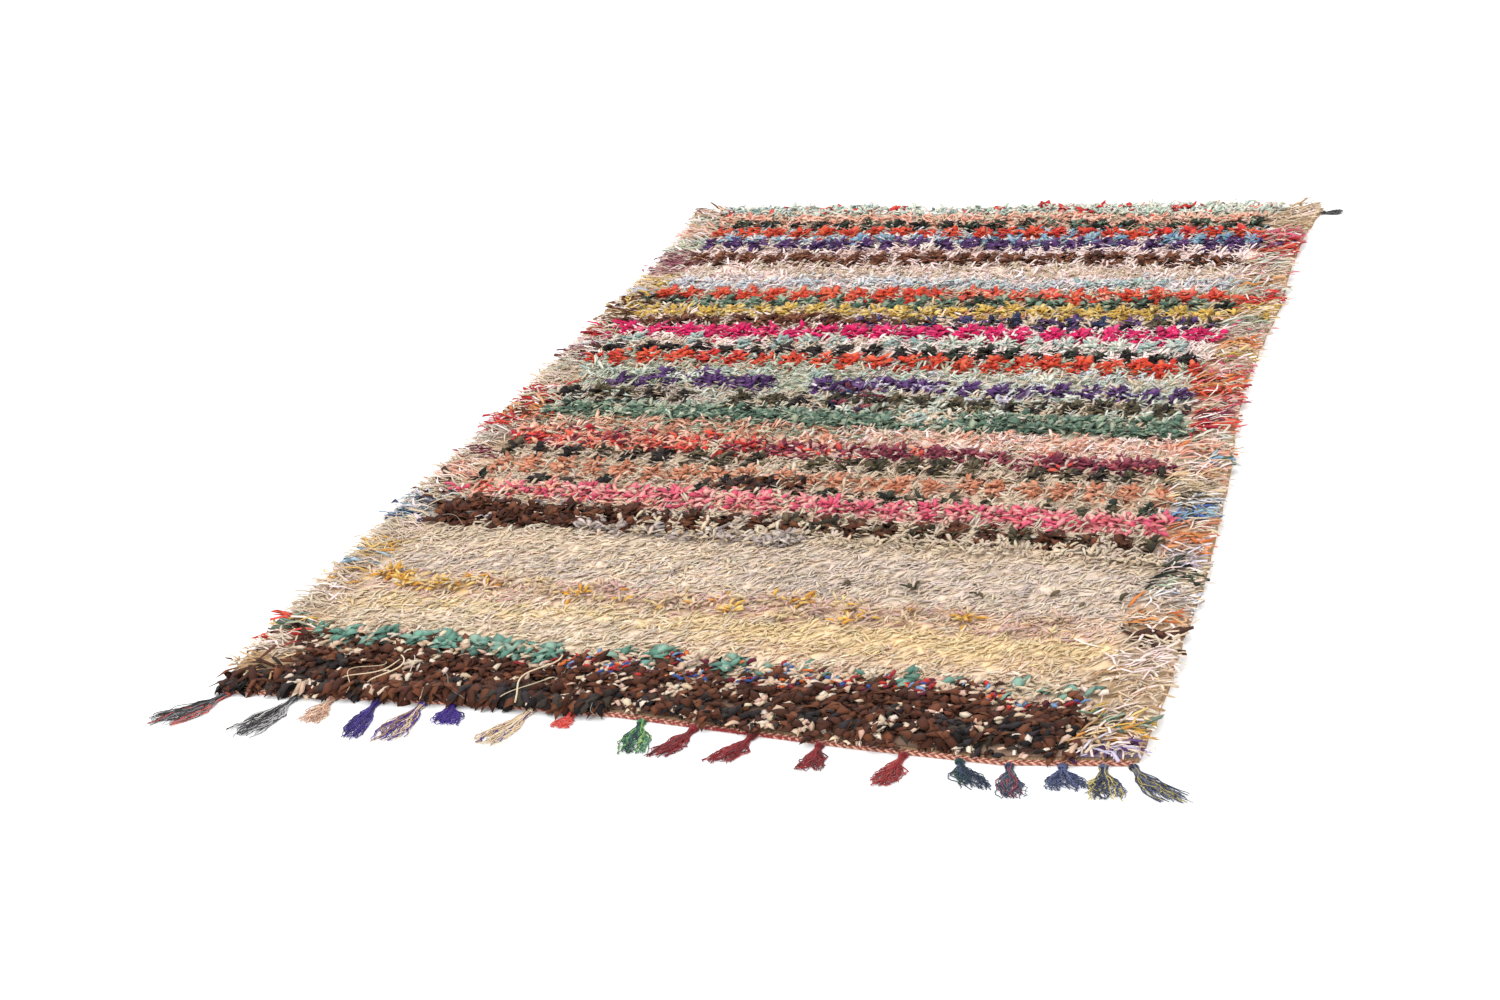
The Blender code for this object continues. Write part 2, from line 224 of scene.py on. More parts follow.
# Rows of dots. Columns: where along the rug, a dot's depth and width in millimetres (width 0: one
# unbroken row), how far a dot lies from the rug's middle, the rags left and right of the split,
# and how many of the places have their dot
Dots = namedtuple("Dots", "along depth width shift left right split cover")
DOT_PITCH_LEFT = 61.0
DOT_PITCH_RIGHT = 56.8
DOTS = listed(
    Dots,
    (-1186, 26, 0, 0, "black+brown*2+cream_rag", "black+brown+black+brown*3+cream_rag", -100, 0.92),
    (-1150, 54, 0, 0, "brown*3+black*2+cream_rag", "brown*4+black*2+cream_rag", 0, 0.97),
    (-1100, 58, 0, 0, "brown*4+cream_rag", "brown*5+cream_rag", 0, 0.96),
    (-1066, 34, 0, 0, "brown*3+cream_rag", "brown*2+scrap+brown+cream_rag", -250, 0.85),
    (-1046, 50, 0, 0, "brown+cream_rag", "scrap*2+brown+scrap+cream_rag", -230, 0.8),
    (-1028, 62, 40, 20, "teal", "teal+cream_rag+cream", -180, 0.88),
    (-732, 16, 9, 10, "grey_white", "olive+beige", 60, 0.6),
    (-564, 74, 0, 0, "brown", "cream+beige", -180, 0.8),
    (-536, 72, 42, 30, "brown", "brown*2+olive", 0, 1.0),
    (-452, 44, 0, 0, "pink+salmon+cream", "pink+cream", -420, 0.6),
    (-456, 74, 50, 23, "pink+coral+pink+salmon", "pink", -420, 1.0),
    (-412, 38, 19, -4, "pine+black", "pine+olive", 0, 0.85),
    (-352, 70, 37, 10, "caramel", "caramel", 0, 1.0),
    (-286, 68, 30, 2, "black+olive", "olive*2+black", -100, 0.97),
    (-232, 44, 0, 0, "coral+salmon+cream+plum", "mauve+plum+coral+plum", -40, 0.6),
    (-232, 60, 52, 34, "plum+coral+red", "plum*2+mauve", -40, 1.0),
    (-84, 52, 0, 0, "bottle+sage+bottle", "bottle", -250, 0.84),
    (-50, 36, 38, 40, "bottle+pine", "bottle+mint", -100, 0.8),
    (0, 66, 38, 8, "black+olive", "black+olive", 0, 0.95),
    (74, 62, 30, 28, "purple", "purple", 150, 0.85),
    (118, 34, 30, 0, "pale_teal+mint", "mint+cream", 0, 0.6),
    (198, 74, 39, -14, "vermilion*2+red", "vermilion", 0, 1.0),
    (246, 60, 38, 18, "black", "black+pine", 0, 1.0),
    (300, 56, 38, -10, "pale_teal", "pale_teal+mint", 0, 0.9),
    (354, 74, 43, 12, "magenta*2+pink", "magenta", -350, 1.0),
    (411, 30, 0, 0, "brown+chocolate", "cream", -50, 0.6),
    (414, 56, 44, -12, "brown+chocolate", "navy+olive+purple", -50, 1.0),
    (470, 66, 46, 18, "mustard", "mustard", 0, 1.0),
    (520, 60, 43, -10, "bottle*2+pine", "bottle*2+pine", 0, 1.0),
    (568, 72, 43, 19, "vermilion", "vermilion+coral", 0, 1.0),
    (638, 34, 0, 0, "blue_grey", "blue_grey+pale_teal", 0, 0.6),
    (792, 78, 44, 10, "chocolate", "chocolate+brown", 0, 1.0),
    (885, 66, 38, 13, "purple", "purple", 0, 1.0),
    (914, 54, 37, -12, "sky+blue_grey", "sky", 0, 0.9),
    (960, 64, 40, 17, "vermilion", "vermilion*2+red", 0, 1.0),
    (1014, 60, 36, -12, "pine+black", "pine*2+bottle", 0, 1.0),
    (1056, 40, 0, 0, "salmon*2+cream", "salmon*2+cream", 0, 0.7),
    (1118, 60, 0, 0, "mint+pale_teal+mint*6+red", "mint*7+red", 200, 0.8),
)

# Odd lots of rag: from and to across and along, the rags, and how many knots there take them
Patch = namedtuple("Patch", "left right near far rags cover")
PATCHES = listed(
    Patch,
    (-470, -200, -1050, -1010, "teal*2+cream", 0.4),
    (-720, -430, -848, -800, "ochre+cream+ochre+butter", 0.55),
    (-430, 560, -860, -800, "butter+mauve+peach+ochre+butter+mauve+peach", 0.35),
    (-350, 60, -612, -562, "grey_lilac*2+cream", 0.6),
    (-150, 5, -414, -368, "black+brown", 0.85),
    (90, 200, -104, -52, "mint+pale_teal+cream", 0.8),
    (-440, -300, 78, 118, "purple*2+mint", 0.7),
    (-300, -200, 56, 96, "purple", 0.7),
    (-110, 150, 50, 96, "purple*2+lavender", 0.7),
    (-40, 30, -60, 60, "navy+plum+grey_lilac", 0.35),
    (-620, -60, -262, -180, "red+coral+plum+salmon+cream+salmon", 0.45),
    (-640, -480, -1150, -1090, "brown+black", 0.7),
    (150, 450, 22, 52, "lavender+mint", 0.5),
)

# The rags of the two borders, each from this many millimetres along upwards
Border = namedtuple("Border", "along rags")
LEFT_BORDER = listed(
    Border,
    (-1260, "brown+black"),
    (-1120, "brown+tan"),
    (-1085, "cream+beige"),
    (-1045, "red+brown"),
    (-1005, "mustard+red+bottle"),
    (-965, "cream+beige"),
    (-825, "ochre+cream"),
    (-775, "cream+sky"),
    (-745, "ochre+butter"),
    (-685, "cream+beige"),
    (-605, "blue_grey+sky+navy"),
    (-500, "brown+cream"),
    (-420, "salmon+cream"),
    (-300, "plum+beige"),
    (-245, "grey_white"),
    (-195, "red+pink"),
    (-130, "orange+brown"),
    (-70, "cream+red"),
    (50, "cream+beige"),
    (140, "mint+grey_white"),
    (200, "dusk+plum+brown"),
    (255, "grey_white+blue_grey"),
    (305, "red+magenta+tan"),
    (395, "brown+tan"),
    (465, "mustard+brown"),
    (560, "blue_grey"),
    (600, "orange+butter"),
    (635, "butter+mustard"),
    (700, "dusk*3+mauve"),
    (835, "sage+mint"),
    (935, "peach+salmon"),
    (1010, "sage+mint+grey_white"),
    (1095, "chocolate+salmon+cream"),
)
RIGHT_BORDER = listed(
    Border,
    (-1260, "lavender+purple"),
    (-1170, "ochre+tan"),
    (-1125, "bottle+mustard"),
    (-1080, "cream+tan+peach"),
    (-935, "cream+blush"),
    (-865, "brown+cream"),
    (-805, "peach+orange"),
    (-740, "blue_grey+grey_lilac"),
    (-665, "sage+pine+beige"),
    (-590, "lavender+grey_lilac"),
    (-525, "orange+caramel"),
    (-440, "blue+sky"),
    (-380, "blue_grey+olive"),
    (-330, "butter+cream"),
    (-280, "salmon+tan"),
    (-225, "bottle+sky+cream"),
    (-175, "orange+salmon"),
    (-125, "mint+cream"),
    (-75, "red+coral"),
    (-25, "plum+red"),
    (30, "cream+pink"),
    (75, "red+vermilion"),
    (125, "orange+vermilion"),
    (180, "mauve+pink"),
    (245, "mustard+butter"),
    (290, "orange+salmon"),
    (345, "mauve+pink+grey_white"),
    (415, "mint+sage"),
    (465, "mustard+tan"),
    (545, "red+coral"),
    (600, "mint"),
    (645, "orange+tan"),
    (700, "cream+mint+pink"),
    (825, "red+coral"),
    (870, "plum+red+purple"),
    (920, "mauve+pink"),
    (990, "tan+cream+peach"),
)
BORDER_WIDTH = 92.0

# How unevenly the rags are laid, in metres: where the left ones give way to the right ones, where
# one stretch of ground does to the next, where a dot's middle is, and where a border starts
SPLIT_FRAY, GROUND_FRAY, DOT_WANDER, BORDER_FRAY = 0.09, 0.005, 0.0022, 0.011
# The outline of a dot: 1 is a diamond and 2 an ellipse
DOT_ROUNDNESS = 1.3
# More dots than any row has
MOST_DOTS = 99
# The share of strips that take their whole lot's kind, and of pale ones among a border's
LOT_SHARE, PALE_SHARE = 0.6, 0.36
# How much lighter or darker knots and strips are, and how far a strip's hue strays
KNOT_SHADE, STRIP_SHADE, STRIP_TINT = 0.045, 0.065, 0.025

# Tassels. Columns: where the head sits along the band, how far sideways the tips lie, the length
# over all and the width over the tips in millimetres, the yarns, and the CAD node and the slot it
# stands for
Tassel = namedtuple("Tassel", "across lean length spread yarns node slot")
TASSELS = listed(
    Tassel,
    (-708, -66, 112, 52, "2B2A2C 4A494B 77757A 1D1B1C B5483C", "tassel_01", "yarn_soot"),
    (-589, -40, 132, 50, "3A3A3C 6A696C 9B999B 242325 C9C6C2", "tassel_02", "yarn_soot"),
    (-528, -8, 78, 28, "C9A48C B98E74 D8BCA2 A87A68", "tassel_03", "yarn_tan"),
    (-450, 2, 116, 30, "362074 2A165E 442C86 20124E", "tassel_04", "yarn_violet"),
    (-372, -14, 118, 44, "3A2080 D6BFA2 A88668 2E1668 8C6A54 4A2E92", "tassel_05", "yarn_tan"),
    (-322, 8, 62, 48, "3A2080 2E1668 4A2E92", "tassel_06", "yarn_violet"),
    (-192, -36, 112, 34, "D3BC9C C2A680 B08F6C DCC9AC 3A2080", "tassel_07", "yarn_tan"),
    (-122, -10, 44, 22, "D8463A B83430 E0685A", "tassel_08", "yarn_scarlet"),
    (-8, 14, 98, 40, "2F6350 23403C 4F8A5E 2C3350 7FA858", "tassel_09", "yarn_bottle"),
    (78, -28, 90, 30, "84181E 70141A 962A2E 5C1016", "tassel_10", "yarn_crimson"),
    (172, -28, 82, 42, "84181E 70141A 962A2E 5C1016", "tassel_11", "yarn_crimson"),
    (278, 0, 74, 38, "84181E 70141A 962A2E 5C1016", "tassel_12", "yarn_crimson"),
    (406, -12, 90, 32, "84181E 70141A 962A2E 9C3C34", "tassel_13", "yarn_crimson"),
    (489, 36, 72, 46, "2C3350 23403C 3D4A6E 1D2238", "tassel_14", "yarn_navy"),
    (561, 22, 88, 32, "2C3350 3D3A5E 8A3A44 1D2238 49606A", "tassel_15", "yarn_navy"),
    (634, 18, 66, 56, "2C3350 3D4A6E 5A5F86", "tassel_16", "yarn_navy"),
    (690, 18, 88, 44, "3B4058 565C78 2C3044 B8A860", "tassel_17", "yarn_slate"),
    (731, 66, 86, 42, "3B4058 565C78 2C3044 B8A860 6A7086", "tassel_18", "yarn_slate"),
)
FAR_TASSEL = Tassel(0, 6, 46, 26, "2B2A2C 4A494B 6A696C", "tassel_far_corner", "yarn_soot")
FAR_TASSEL_ALONG = 1136.0

# Loose threads on the pile. Columns: from, to, how wide the curl, how many turns, its thickness,
# its colour, and how high its middle lies
Stray = namedtuple("Stray", "x0 y0 x1 y1 curl turns thick dye height")
STRAYS = listed(
    Stray,
    (-462, -1062, -478, -1150, 34, 0.5, 2.6, "D8C4A4", 29),
    (-440, -1060, -420, -1120, 6, 0.5, 1.4, "CFC3AE", 27),
    (-385, -1105, -300, -1178, 8, 1.0, 0.9, "8C8577", 26),
    (-196, -1030, -225, -1180, 12, 1.2, 2.8, "D3BE9E", 29),
    (-180, -1100, -240, -1180, 7, 0.7, 1.6, "C9B595", 27),
    (-120, -1150, -60, -1205, 10, 1.0, 1.0, "7F7A70", 20),
    (15, -150, 5, 90, 7, 1.4, 1.3, "3A2E33", 30),
    (-5, 60, 25, 210, 6, 1.1, 1.2, "40286A", 30),
    (10, 250, -5, 420, 5, 1.3, 1.1, "2B2A2C", 30),
    (0, 520, 15, 700, 5, 1.2, 1.1, "4A3B34", 30),
    (22, 20, -8, 190, 8, 0.9, 1.6, "2C2436", 31),
    (-14, -60, 12, 120, 6, 1.6, 1.5, "3A2E33", 31),
    (6, 150, 30, 60, 9, 0.8, 1.4, "4A2F6A", 31),
    (12, 420, -6, 560, 6, 1.1, 1.2, "5A463C", 30),
    (-4, 680, 10, 860, 5, 1.3, 1.2, "6A5248", 30),
    (8, 860, -4, 1010, 5, 1.1, 1.0, "4A3B34", 29),
    (-455, -1075, -520, -1150, 30, 0.55, 2.2, "D3BE9E", 29),
    (-480, -1080, -515, -1178, 18, 1.3, 1.4, "C9B595", 28),
    (300, -175, 340, -105, 14, 0.7, 1.2, "1D1B1C", 30),
    (-110, -205, -100, -130, 6, 0.5, 1.2, "3A2E2A", 31),
    (-85, -210, -70, -145, 7, 0.6, 1.1, "4A2A2A", 31),
    (560, 300, 640, 335, 10, 0.7, 1.0, "4A494B", 28),
    (-620, -560, -560, -590, 6, 0.6, 1.0, "8C8577", 27),
    (120, -640, 260, -600, 12, 1.1, 0.9, "6A6058", 27),
)


def column(table, name, scale=MM):
    """One column of a table, in metres unless another scale is given."""
    return np.array([getattr(row, name) for row in table], float) * scale


def linear(code):
    """An sRGB hex colour as linear light, three numbers from 0 to 1."""
    srgb = np.array([int(code[i : i + 2], 16) for i in (0, 2, 4)]) / 255
    return np.where(srgb <= 0.04045, srgb / 12.92, ((srgb + 0.055) / 1.055) ** 2.4)


def palette(codes):
    """The colours of a row of hex codes as linear light, one to a row."""
    return np.array([linear(code) for code in codes.split()])


def left_edge(along):
    return np.interp(along, column(SIDES, "along"), column(SIDES, "left"))


def right_edge(along):
    return np.interp(along, column(SIDES, "along"), column(SIDES, "right"))


def near_end(across):
    return np.interp(across, column(NEAR_END, "across"), column(NEAR_END, "along"))


def far_end(across):
    return np.interp(across, column(FAR_END, "across"), column(FAR_END, "along"))


def pile_point(share_across, share_along):
    """The point of the rug's own grid at these shares of its width and length, as in the CAD."""
    first, last = SIDES[0].along * MM, SIDES[-1].along * MM
    middle = first + share_along * (last - first)
    across = left_edge(middle) + share_across * (right_edge(middle) - left_edge(middle))
    return across, near_end(across) + share_along * (far_end(across) - near_end(across))


def to_row(across, along, height):
    """Points of the rug, as an array of points in the row frame."""
    return np.stack([across - MIDDLE[0], along - MIDDLE[1], height], -1)


def ripple(waves, across, along):
    """The sum of sine waves over the rug, each with its own size and lengths in millimetres."""
    total = np.zeros(np.broadcast(across, along).shape)
    for wave in waves:
        turns = across / (wave.across * MM) + along / (wave.along * MM)
        total += wave.size * MM * np.sin(2 * np.pi * turns + wave.shift)
    return total


def drift(across, along):
    """How far a row of knots strays from square: it leans evenly from side to side, by an amount
    that changes slowly along the rug."""
    lean = np.interp(along, column(ROW_DRIFT, "along"), column(ROW_DRIFT, "left"))
    return -lean * across / 0.7


def step_value(table, along, name):
    """For each place along the rug, the entry of the last row of the table that starts below it."""
    at = np.searchsorted(column(table, "along"), along, side="right") - 1
    return np.array([getattr(row, name) for row in table], object)[np.clip(at, 0, None)]


def mixed(recipe):
    """The names in a recipe such as brown*3+cream, each as many times as its number says."""
    parts = [part.partition("*") for part in recipe.split("+")]
    return [name for name, _, times in parts for _ in range(int(times or 1))]


def lay_knots():
    """The knots: an even grid over the rug's shape, each a little off its place."""
    rng = np.random.default_rng(SEED + 1)
    row, number = np.meshgrid(np.arange(KNOT_ROWS), np.arange(KNOT_COLUMNS), indexing="ij")
    across, along = pile_point(
        (number.ravel() + 0.5) / KNOT_COLUMNS, (row.ravel() + 0.5) / KNOT_ROWS
    )
    across = across + rng.normal(0, KNOT_WANDER[0], across.shape)
    along = along + rng.normal(0, KNOT_WANDER[1], across.shape)
    return across, along, row.ravel()


def choose_rags(u, v, knot):
    """Which rags the strip rooted at each place is cut from: the ground's, then those of the row
    of dots it stands in, of an odd lot, or of a border. Also the middle of the dot that it is part
    of and how near the dot's rim it is, whether it is part of one, and which border it is in."""
    rng = np.random.default_rng(SEED)
    knots = knot.max() + 1
    lot = rng.random(knots)[knot]
    fray = u + rng.normal(0, SPLIT_FRAY, u.shape)
    band = v + rng.normal(0, GROUND_FRAY, u.shape)
    rags = np.where(
        fray < 0, step_value(GROUNDS, band, "left"), step_value(GROUNDS, band, "right")
    )
    middle = np.full((3, len(u)), np.nan)
    dotted = np.zeros(u.shape, bool)
    pitch = np.where(u < 0, DOT_PITCH_LEFT, DOT_PITCH_RIGHT) * MM
    for dots in DOTS:
        ahead = v - dots.along * MM
        number = np.round((u - dots.shift * MM) / pitch).astype(int)
        here = rng.random(MOST_DOTS)[number]
        wander = rng.normal(0, DOT_WANDER, MOST_DOTS)[number]
        grown = rng.uniform(0.86, 1.12, MOST_DOTS)[number] * rng.normal(1, 0.1, u.shape)
        aside = u - dots.shift * MM - number * pitch - wander
        if dots.width:
            share = np.abs(aside * 2 / (dots.width * MM)) ** DOT_ROUNDNESS
            share += np.abs(ahead * 2 / (dots.depth * MM)) ** DOT_ROUNDNESS
            chosen = (share < grown) & (here < dots.cover)
            lot = np.where(chosen, rng.random(MOST_DOTS)[number], lot)
            middle[:, chosen] = np.array([u - aside, v - ahead, share])[:, chosen]
        else:
            chosen = np.abs(ahead * 2) < dots.depth * MM * rng.normal(1, 0.14, u.shape)
            chosen &= rng.random(knots)[knot] < dots.cover
            middle[:, chosen] = np.nan
        left = fray < dots.split * MM
        rags[chosen & left] = dots.left
        rags[chosen & ~left] = dots.right
        dotted |= chosen
    for patch in PATCHES:
        inside = (u > patch.left * MM) & (u < patch.right * MM)
        inside &= (v > patch.near * MM) & (v < patch.far * MM)
        inside &= rng.random(knots)[knot] < patch.cover
        rags[inside] = patch.rags
        middle[:, inside] = np.nan
        dotted |= inside
    ragged = rng.normal(0, BORDER_FRAY, (3, knots))[:, knot]
    at_left = u - left_edge(v) < BORDER_WIDTH * MM + ragged[0]
    at_right = right_edge(v) - u < BORDER_WIDTH * MM + ragged[1]
    rags[at_left] = step_value(LEFT_BORDER, v + ragged[2], "rags")[at_left]
    rags[at_right] = step_value(RIGHT_BORDER, v + ragged[2], "rags")[at_right]
    side = at_right.astype(int) - at_left.astype(int)
    return rags, lot, middle, dotted & (side == 0), side


def pick_kinds(rags, lot, side, dark_end, rng):
    """One kind of rag for each strip out of its recipe: most strips take their whole lot's kind,
    and among a border's strips many are pale, but not at its dark end."""
    names = list(RAGS)
    recipes, recipe = np.unique(rags.astype(str), return_inverse=True)
    parts = [[names.index(name) for name in mixed(text)] for text in recipes]
    widest = max(len(part) for part in parts)
    padded = np.array([(part * widest)[:widest] for part in parts])
    sizes = np.array([len(part) for part in parts])[recipe]
    chance = np.where(rng.random(len(lot)) < LOT_SHARE, lot, rng.random(len(lot)))
    kind = padded[recipe, (chance * sizes).astype(int)]
    pale = (side != 0) & (rng.random(len(lot)) < PALE_SHARE) & ~dark_end
    among = rng.choice([names.index(name) for name in ("cream", "beige", "blush")], len(lot))
    return np.where(pale, among, kind)


def dye_strips(kind, knot, rng):
    """Each strip's colour: one of its rag's dyes, lighter or darker by knot and by strip."""
    colour = np.zeros((len(kind), 3))
    for index, rag in enumerate(RAGS.values()):
        chosen = kind == index
        dyes = palette(rag.dyes)
        colour[chosen] = dyes[rng.integers(0, len(dyes), chosen.sum())]
    shade = np.exp(rng.normal(0, KNOT_SHADE, knot.max() + 1))[knot]
    shade = shade * np.exp(rng.normal(0, STRIP_SHADE, len(kind)))
    tint = np.exp(rng.normal(0, STRIP_TINT, colour.shape))
    return np.clip(colour * shade[:, None] * tint, 0.001, 1)


Strips = namedtuple("Strips", "root heading curl rise fall length width roll cut thick dye")

# The most strips that a knot may have, and how far off it they are rooted, across and along
MOST_STRIPS = 28
KNOT_REACH = (0.0085, 0.0075)
# A lone knot's strips count as at its rim from here
KNOT_RADIUS = 0.022
# How much higher than the ground a dot's middle is rooted
DOT_STAND = 0.0065
# The two ways that strips are combed, the share combed the first way, and either way
COMB_HEADINGS = (math.radians(222), math.radians(42))
COMBED_FIRST, COMBED = 0.55, 0.85
# The left border is dark up to here, and the right one is shaggy between these
DARK_END = -1.09
SHAGGY = (-1.1, -0.9)
# The pale field gives way here to the rows of dots
FIELD_END = (-0.62, -0.52)
# Left of this the near end's strips hang over the band
BAND_HIDDEN_TO = -0.08
SHORTEST = 0.012
# How high in the mat of knots the strips are rooted, as a share of its height
ROOT_SHARE = 0.98


def lay_strips():
    """Every strip of the pile. Most strips are combed one way or the other along one slanting
    line, and the rest head anywhere; each rises and bends over, and in the pale field they lie
    closer. A dot's strips stand up in its middle and low at its rim, and half of them head out
    from its middle. In a border they lie low and long, out over the edge."""
    rng = np.random.default_rng(SEED + 2)
    across, along, row = lay_knots()
    knot = np.repeat(np.arange(len(row)), MOST_STRIPS)
    reach = rng.normal(0, 1, (2, len(knot)))
    u = across[knot] + reach[0] * KNOT_REACH[0]
    v = along[knot] + reach[1] * KNOT_REACH[1]
    rags, lot, middle, dot, side = choose_rags(u, v, knot)
    kind = pick_kinds(rags, lot, side, (v < DARK_END) & (side < 0), rng)
    count = np.array([rag.count for rag in RAGS.values()])[kind] * np.where(dot, 1.8, 1.0)
    kept = rng.random(len(knot)) * MOST_STRIPS < count
    knot, u, v, kind, dot, side = (one[kept] for one in (knot, u, v, kind, dot, side))
    middle = middle[:, kept]
    n = len(knot)
    alone = np.isnan(middle[2])
    away = np.array([u, v]) - np.where(alone, [across[knot], along[knot]], middle[:2])
    spread = np.clip(np.where(alone, np.hypot(*away) / KNOT_RADIUS, middle[2]), 0, 1)
    v = v + ripple(ROW_WANDER, u, v) + drift(u, v)
    sizes = bpy.context.scene.rug_sizes
    width = column(RAGS.values(), "width")[kind] * sizes.strip_width
    length = column(RAGS.values(), "length")[kind] * sizes.strip_length
    border = side != 0
    draw = rng.random(n)
    heading = rng.uniform(0, 2 * np.pi, n)
    combed = np.where(draw < COMBED_FIRST, *COMB_HEADINGS) + rng.normal(0, 0.4, n)
    heading = np.where(draw < COMBED, combed, heading)
    outwards = np.arctan2(away[1], away[0]) + rng.normal(0, 0.8, n)
    heading = np.where(dot & (rng.random(n) < 0.5), outwards, heading)
    outward = np.where(side > 0, 0.0, np.pi) + rng.normal(0, 0.4, n)
    heading = np.where(border & (rng.random(n) < 0.8), outward, heading)
    length = length * np.where(border, 1.7, 1.0) * rng.uniform(0.72, 1.22, n)
    to_edge = np.where(side > 0, right_edge(v) - u + 0.002, u - left_edge(v) - 0.001)
    shaggy = np.where((side > 0) & (v > SHAGGY[0]) & (v < SHAGGY[1]), 0.4, 0.12)
    proud = rng.normal(0, 0.004, n) + rng.uniform(0.004, 0.026, n) * (rng.random(n) < shaggy)
    to_edge = np.maximum(to_edge + proud, SHORTEST)
    length = np.where(border, np.minimum(length, to_edge), length)
    near_row, far_row = row[knot] < 2, row[knot] == KNOT_ROWS - 1
    overhang = np.where(u < BAND_HIDDEN_TO, 0.023, 0.003)
    falls = near_row & (rng.random(n) < np.where(u < BAND_HIDDEN_TO, 0.9, 0.45))
    falls |= far_row & (rng.random(n) < 0.5)
    ahead = np.where(near_row, -np.pi / 2, np.pi / 2)
    heading = np.where(falls, ahead + rng.normal(0, 0.45, n), heading)
    to_end = np.where(near_row, v - near_end(u) + overhang, far_end(u) - v + 0.004)
    to_end = to_end + rng.normal(0, 0.003, n)
    length = np.where(falls & (row[knot] != 1), np.clip(to_end, SHORTEST, 0.05), length)
    low = sizes.bed_height * ROOT_SHARE
    z = low + rng.uniform(-0.001, 0.002, n) + ripple(LUMPS, u, v)
    z = z + np.where(dot, DOT_STAND * (1 - spread**2), 0.0)
    upright = 50 - 32 * spread + rng.normal(0, 12, n) - np.where(v < -1.0, 12, 0)
    among = np.interp(v, FIELD_END, [-2, 14])
    loose = np.interp(v, FIELD_END, [0.55, 1.0])
    rise = np.where(dot, upright, 29 + 15 * loose * rng.uniform(-1, 1, n) + among)
    rise = np.radians(np.where(border | falls, rng.uniform(10, 40, n), rise))
    lie = -7 + 15 * loose * rng.uniform(-1, 1, n) + among
    fall = np.where(dot, upright - rng.uniform(25, 65, n), lie)
    fall = np.radians(np.where(border, rng.uniform(-24, 2, n), fall))
    fall = np.where(falls, -np.radians(rng.uniform(20, 60, n)), fall)
    dye = dye_strips(kind, knot, rng)
    wide = np.where(dot, 1.6, np.where(border, 0.95, 1.15))
    strips = Strips(
        root=to_row(u, v, z),
        heading=heading,
        curl=rng.normal(0, 0.4, n) * np.where(border, 2.0, 1.0),
        rise=rise,
        fall=fall,
        length=length * np.where(falls | border, 1.0, np.where(dot, 0.66, 0.84)),
        width=width * rng.uniform(0.7, 1.25, n) * wide,
        roll=rng.normal(0, 0.27, n) * loose,
        cut=rng.uniform(-0.7, 0.7, n),
        thick=np.where(dot, 1.7, 0.6) * sizes.strip_thickness,
        dye=dye,
    )
    piece = np.array([rag.piece for rag in RAGS.values()], object)[kind]
    split = rng.random(n) < 0.5
    piece = np.where((piece == "cream") & split, "cream_jersey", piece)
    return strips, piece


# A strip's sections, and their widths from root to tip as shares
RINGS = 3
WIDTHS = np.array([0.62, 1.0, 0.86])
# What stands over this height is pressed down to half, and nothing lies under the lowest
PRESSED_OVER, LOWEST = 0.028, 0.0006


def strip_points(strips):
    """Carries a flat three-cornered section along each strip's path. The path's slope runs evenly
    from its rise to its fall, its heading turns by its curl, and each step is an equal part of
    its length. The section's two low corners are half a width to each side and its ridge a
    thickness above; it is rolled about the path, and the last one is cut askew. What stands over
    28 mm is pressed down to half."""
    n = len(strips.length)
    share = np.linspace(0, 1, RINGS)
    slope = strips.rise[:, None] + (strips.fall - strips.rise)[:, None] * share
    heading = strips.heading[:, None] + strips.curl[:, None] * share
    ahead = np.stack(
        [np.cos(heading) * np.cos(slope), np.sin(heading) * np.cos(slope), np.sin(slope)], -1
    )
    left = np.stack([-np.sin(heading), np.cos(heading), np.zeros_like(heading)], -1)
    up = np.cross(ahead, left)
    step = (ahead[:, 1:] + ahead[:, :-1]) / 2 * (strips.length / (RINGS - 1))[:, None, None]
    path = np.concatenate([np.zeros((n, 1, 3)), np.cumsum(step, 1)], 1) + strips.root[:, None]
    roll = (strips.roll[:, None] * (0.4 + share))[..., None]
    aside = left * np.cos(roll) + up * np.sin(roll)
    above = up * np.cos(roll) - left * np.sin(roll)
    half = (strips.width[:, None] * WIDTHS / 2)[..., None]
    ridge = path + above * strips.thick[:, None, None]
    points = np.stack([path + aside * half, path - aside * half, ridge], 2)
    askew = (strips.cut * strips.width)[:, None] * ahead[:, -1]
    points[:, -1, 0] += askew
    points[:, -1, 1] -= askew
    height = points[..., 2]
    over = np.maximum(height - PRESSED_OVER, 0)
    points[..., 2] = np.clip(height, LOWEST, PRESSED_OVER) + over * 0.5
    return points


def prism_faces(count, rings, sides):
    """The faces of many closed prisms laid end to end in one vertex array: quads between each
    ring and the next, with a cap at both ends. Returns corner indices and each face's start."""
    ring = np.arange(rings - 1)[:, None] * sides
    corner = np.arange(sides)[None]
    following = (corner + 1) % sides
    quads = np.stack(
        [ring + corner, ring + sides + corner, ring + sides + following, ring + following], -1
    )
    one = np.concatenate(
        [quads.ravel(), np.arange(sides), (rings - 1) * sides + np.arange(sides)[::-1]]
    )
    quad_count = (rings - 1) * sides
    starts = np.concatenate([np.arange(quad_count) * 4, quad_count * 4 + np.array([0, sides])])
    base = np.arange(count)[:, None]
    loops = (one[None] + base * rings * sides).ravel()
    return loops, (starts[None] + base * len(one)).ravel()


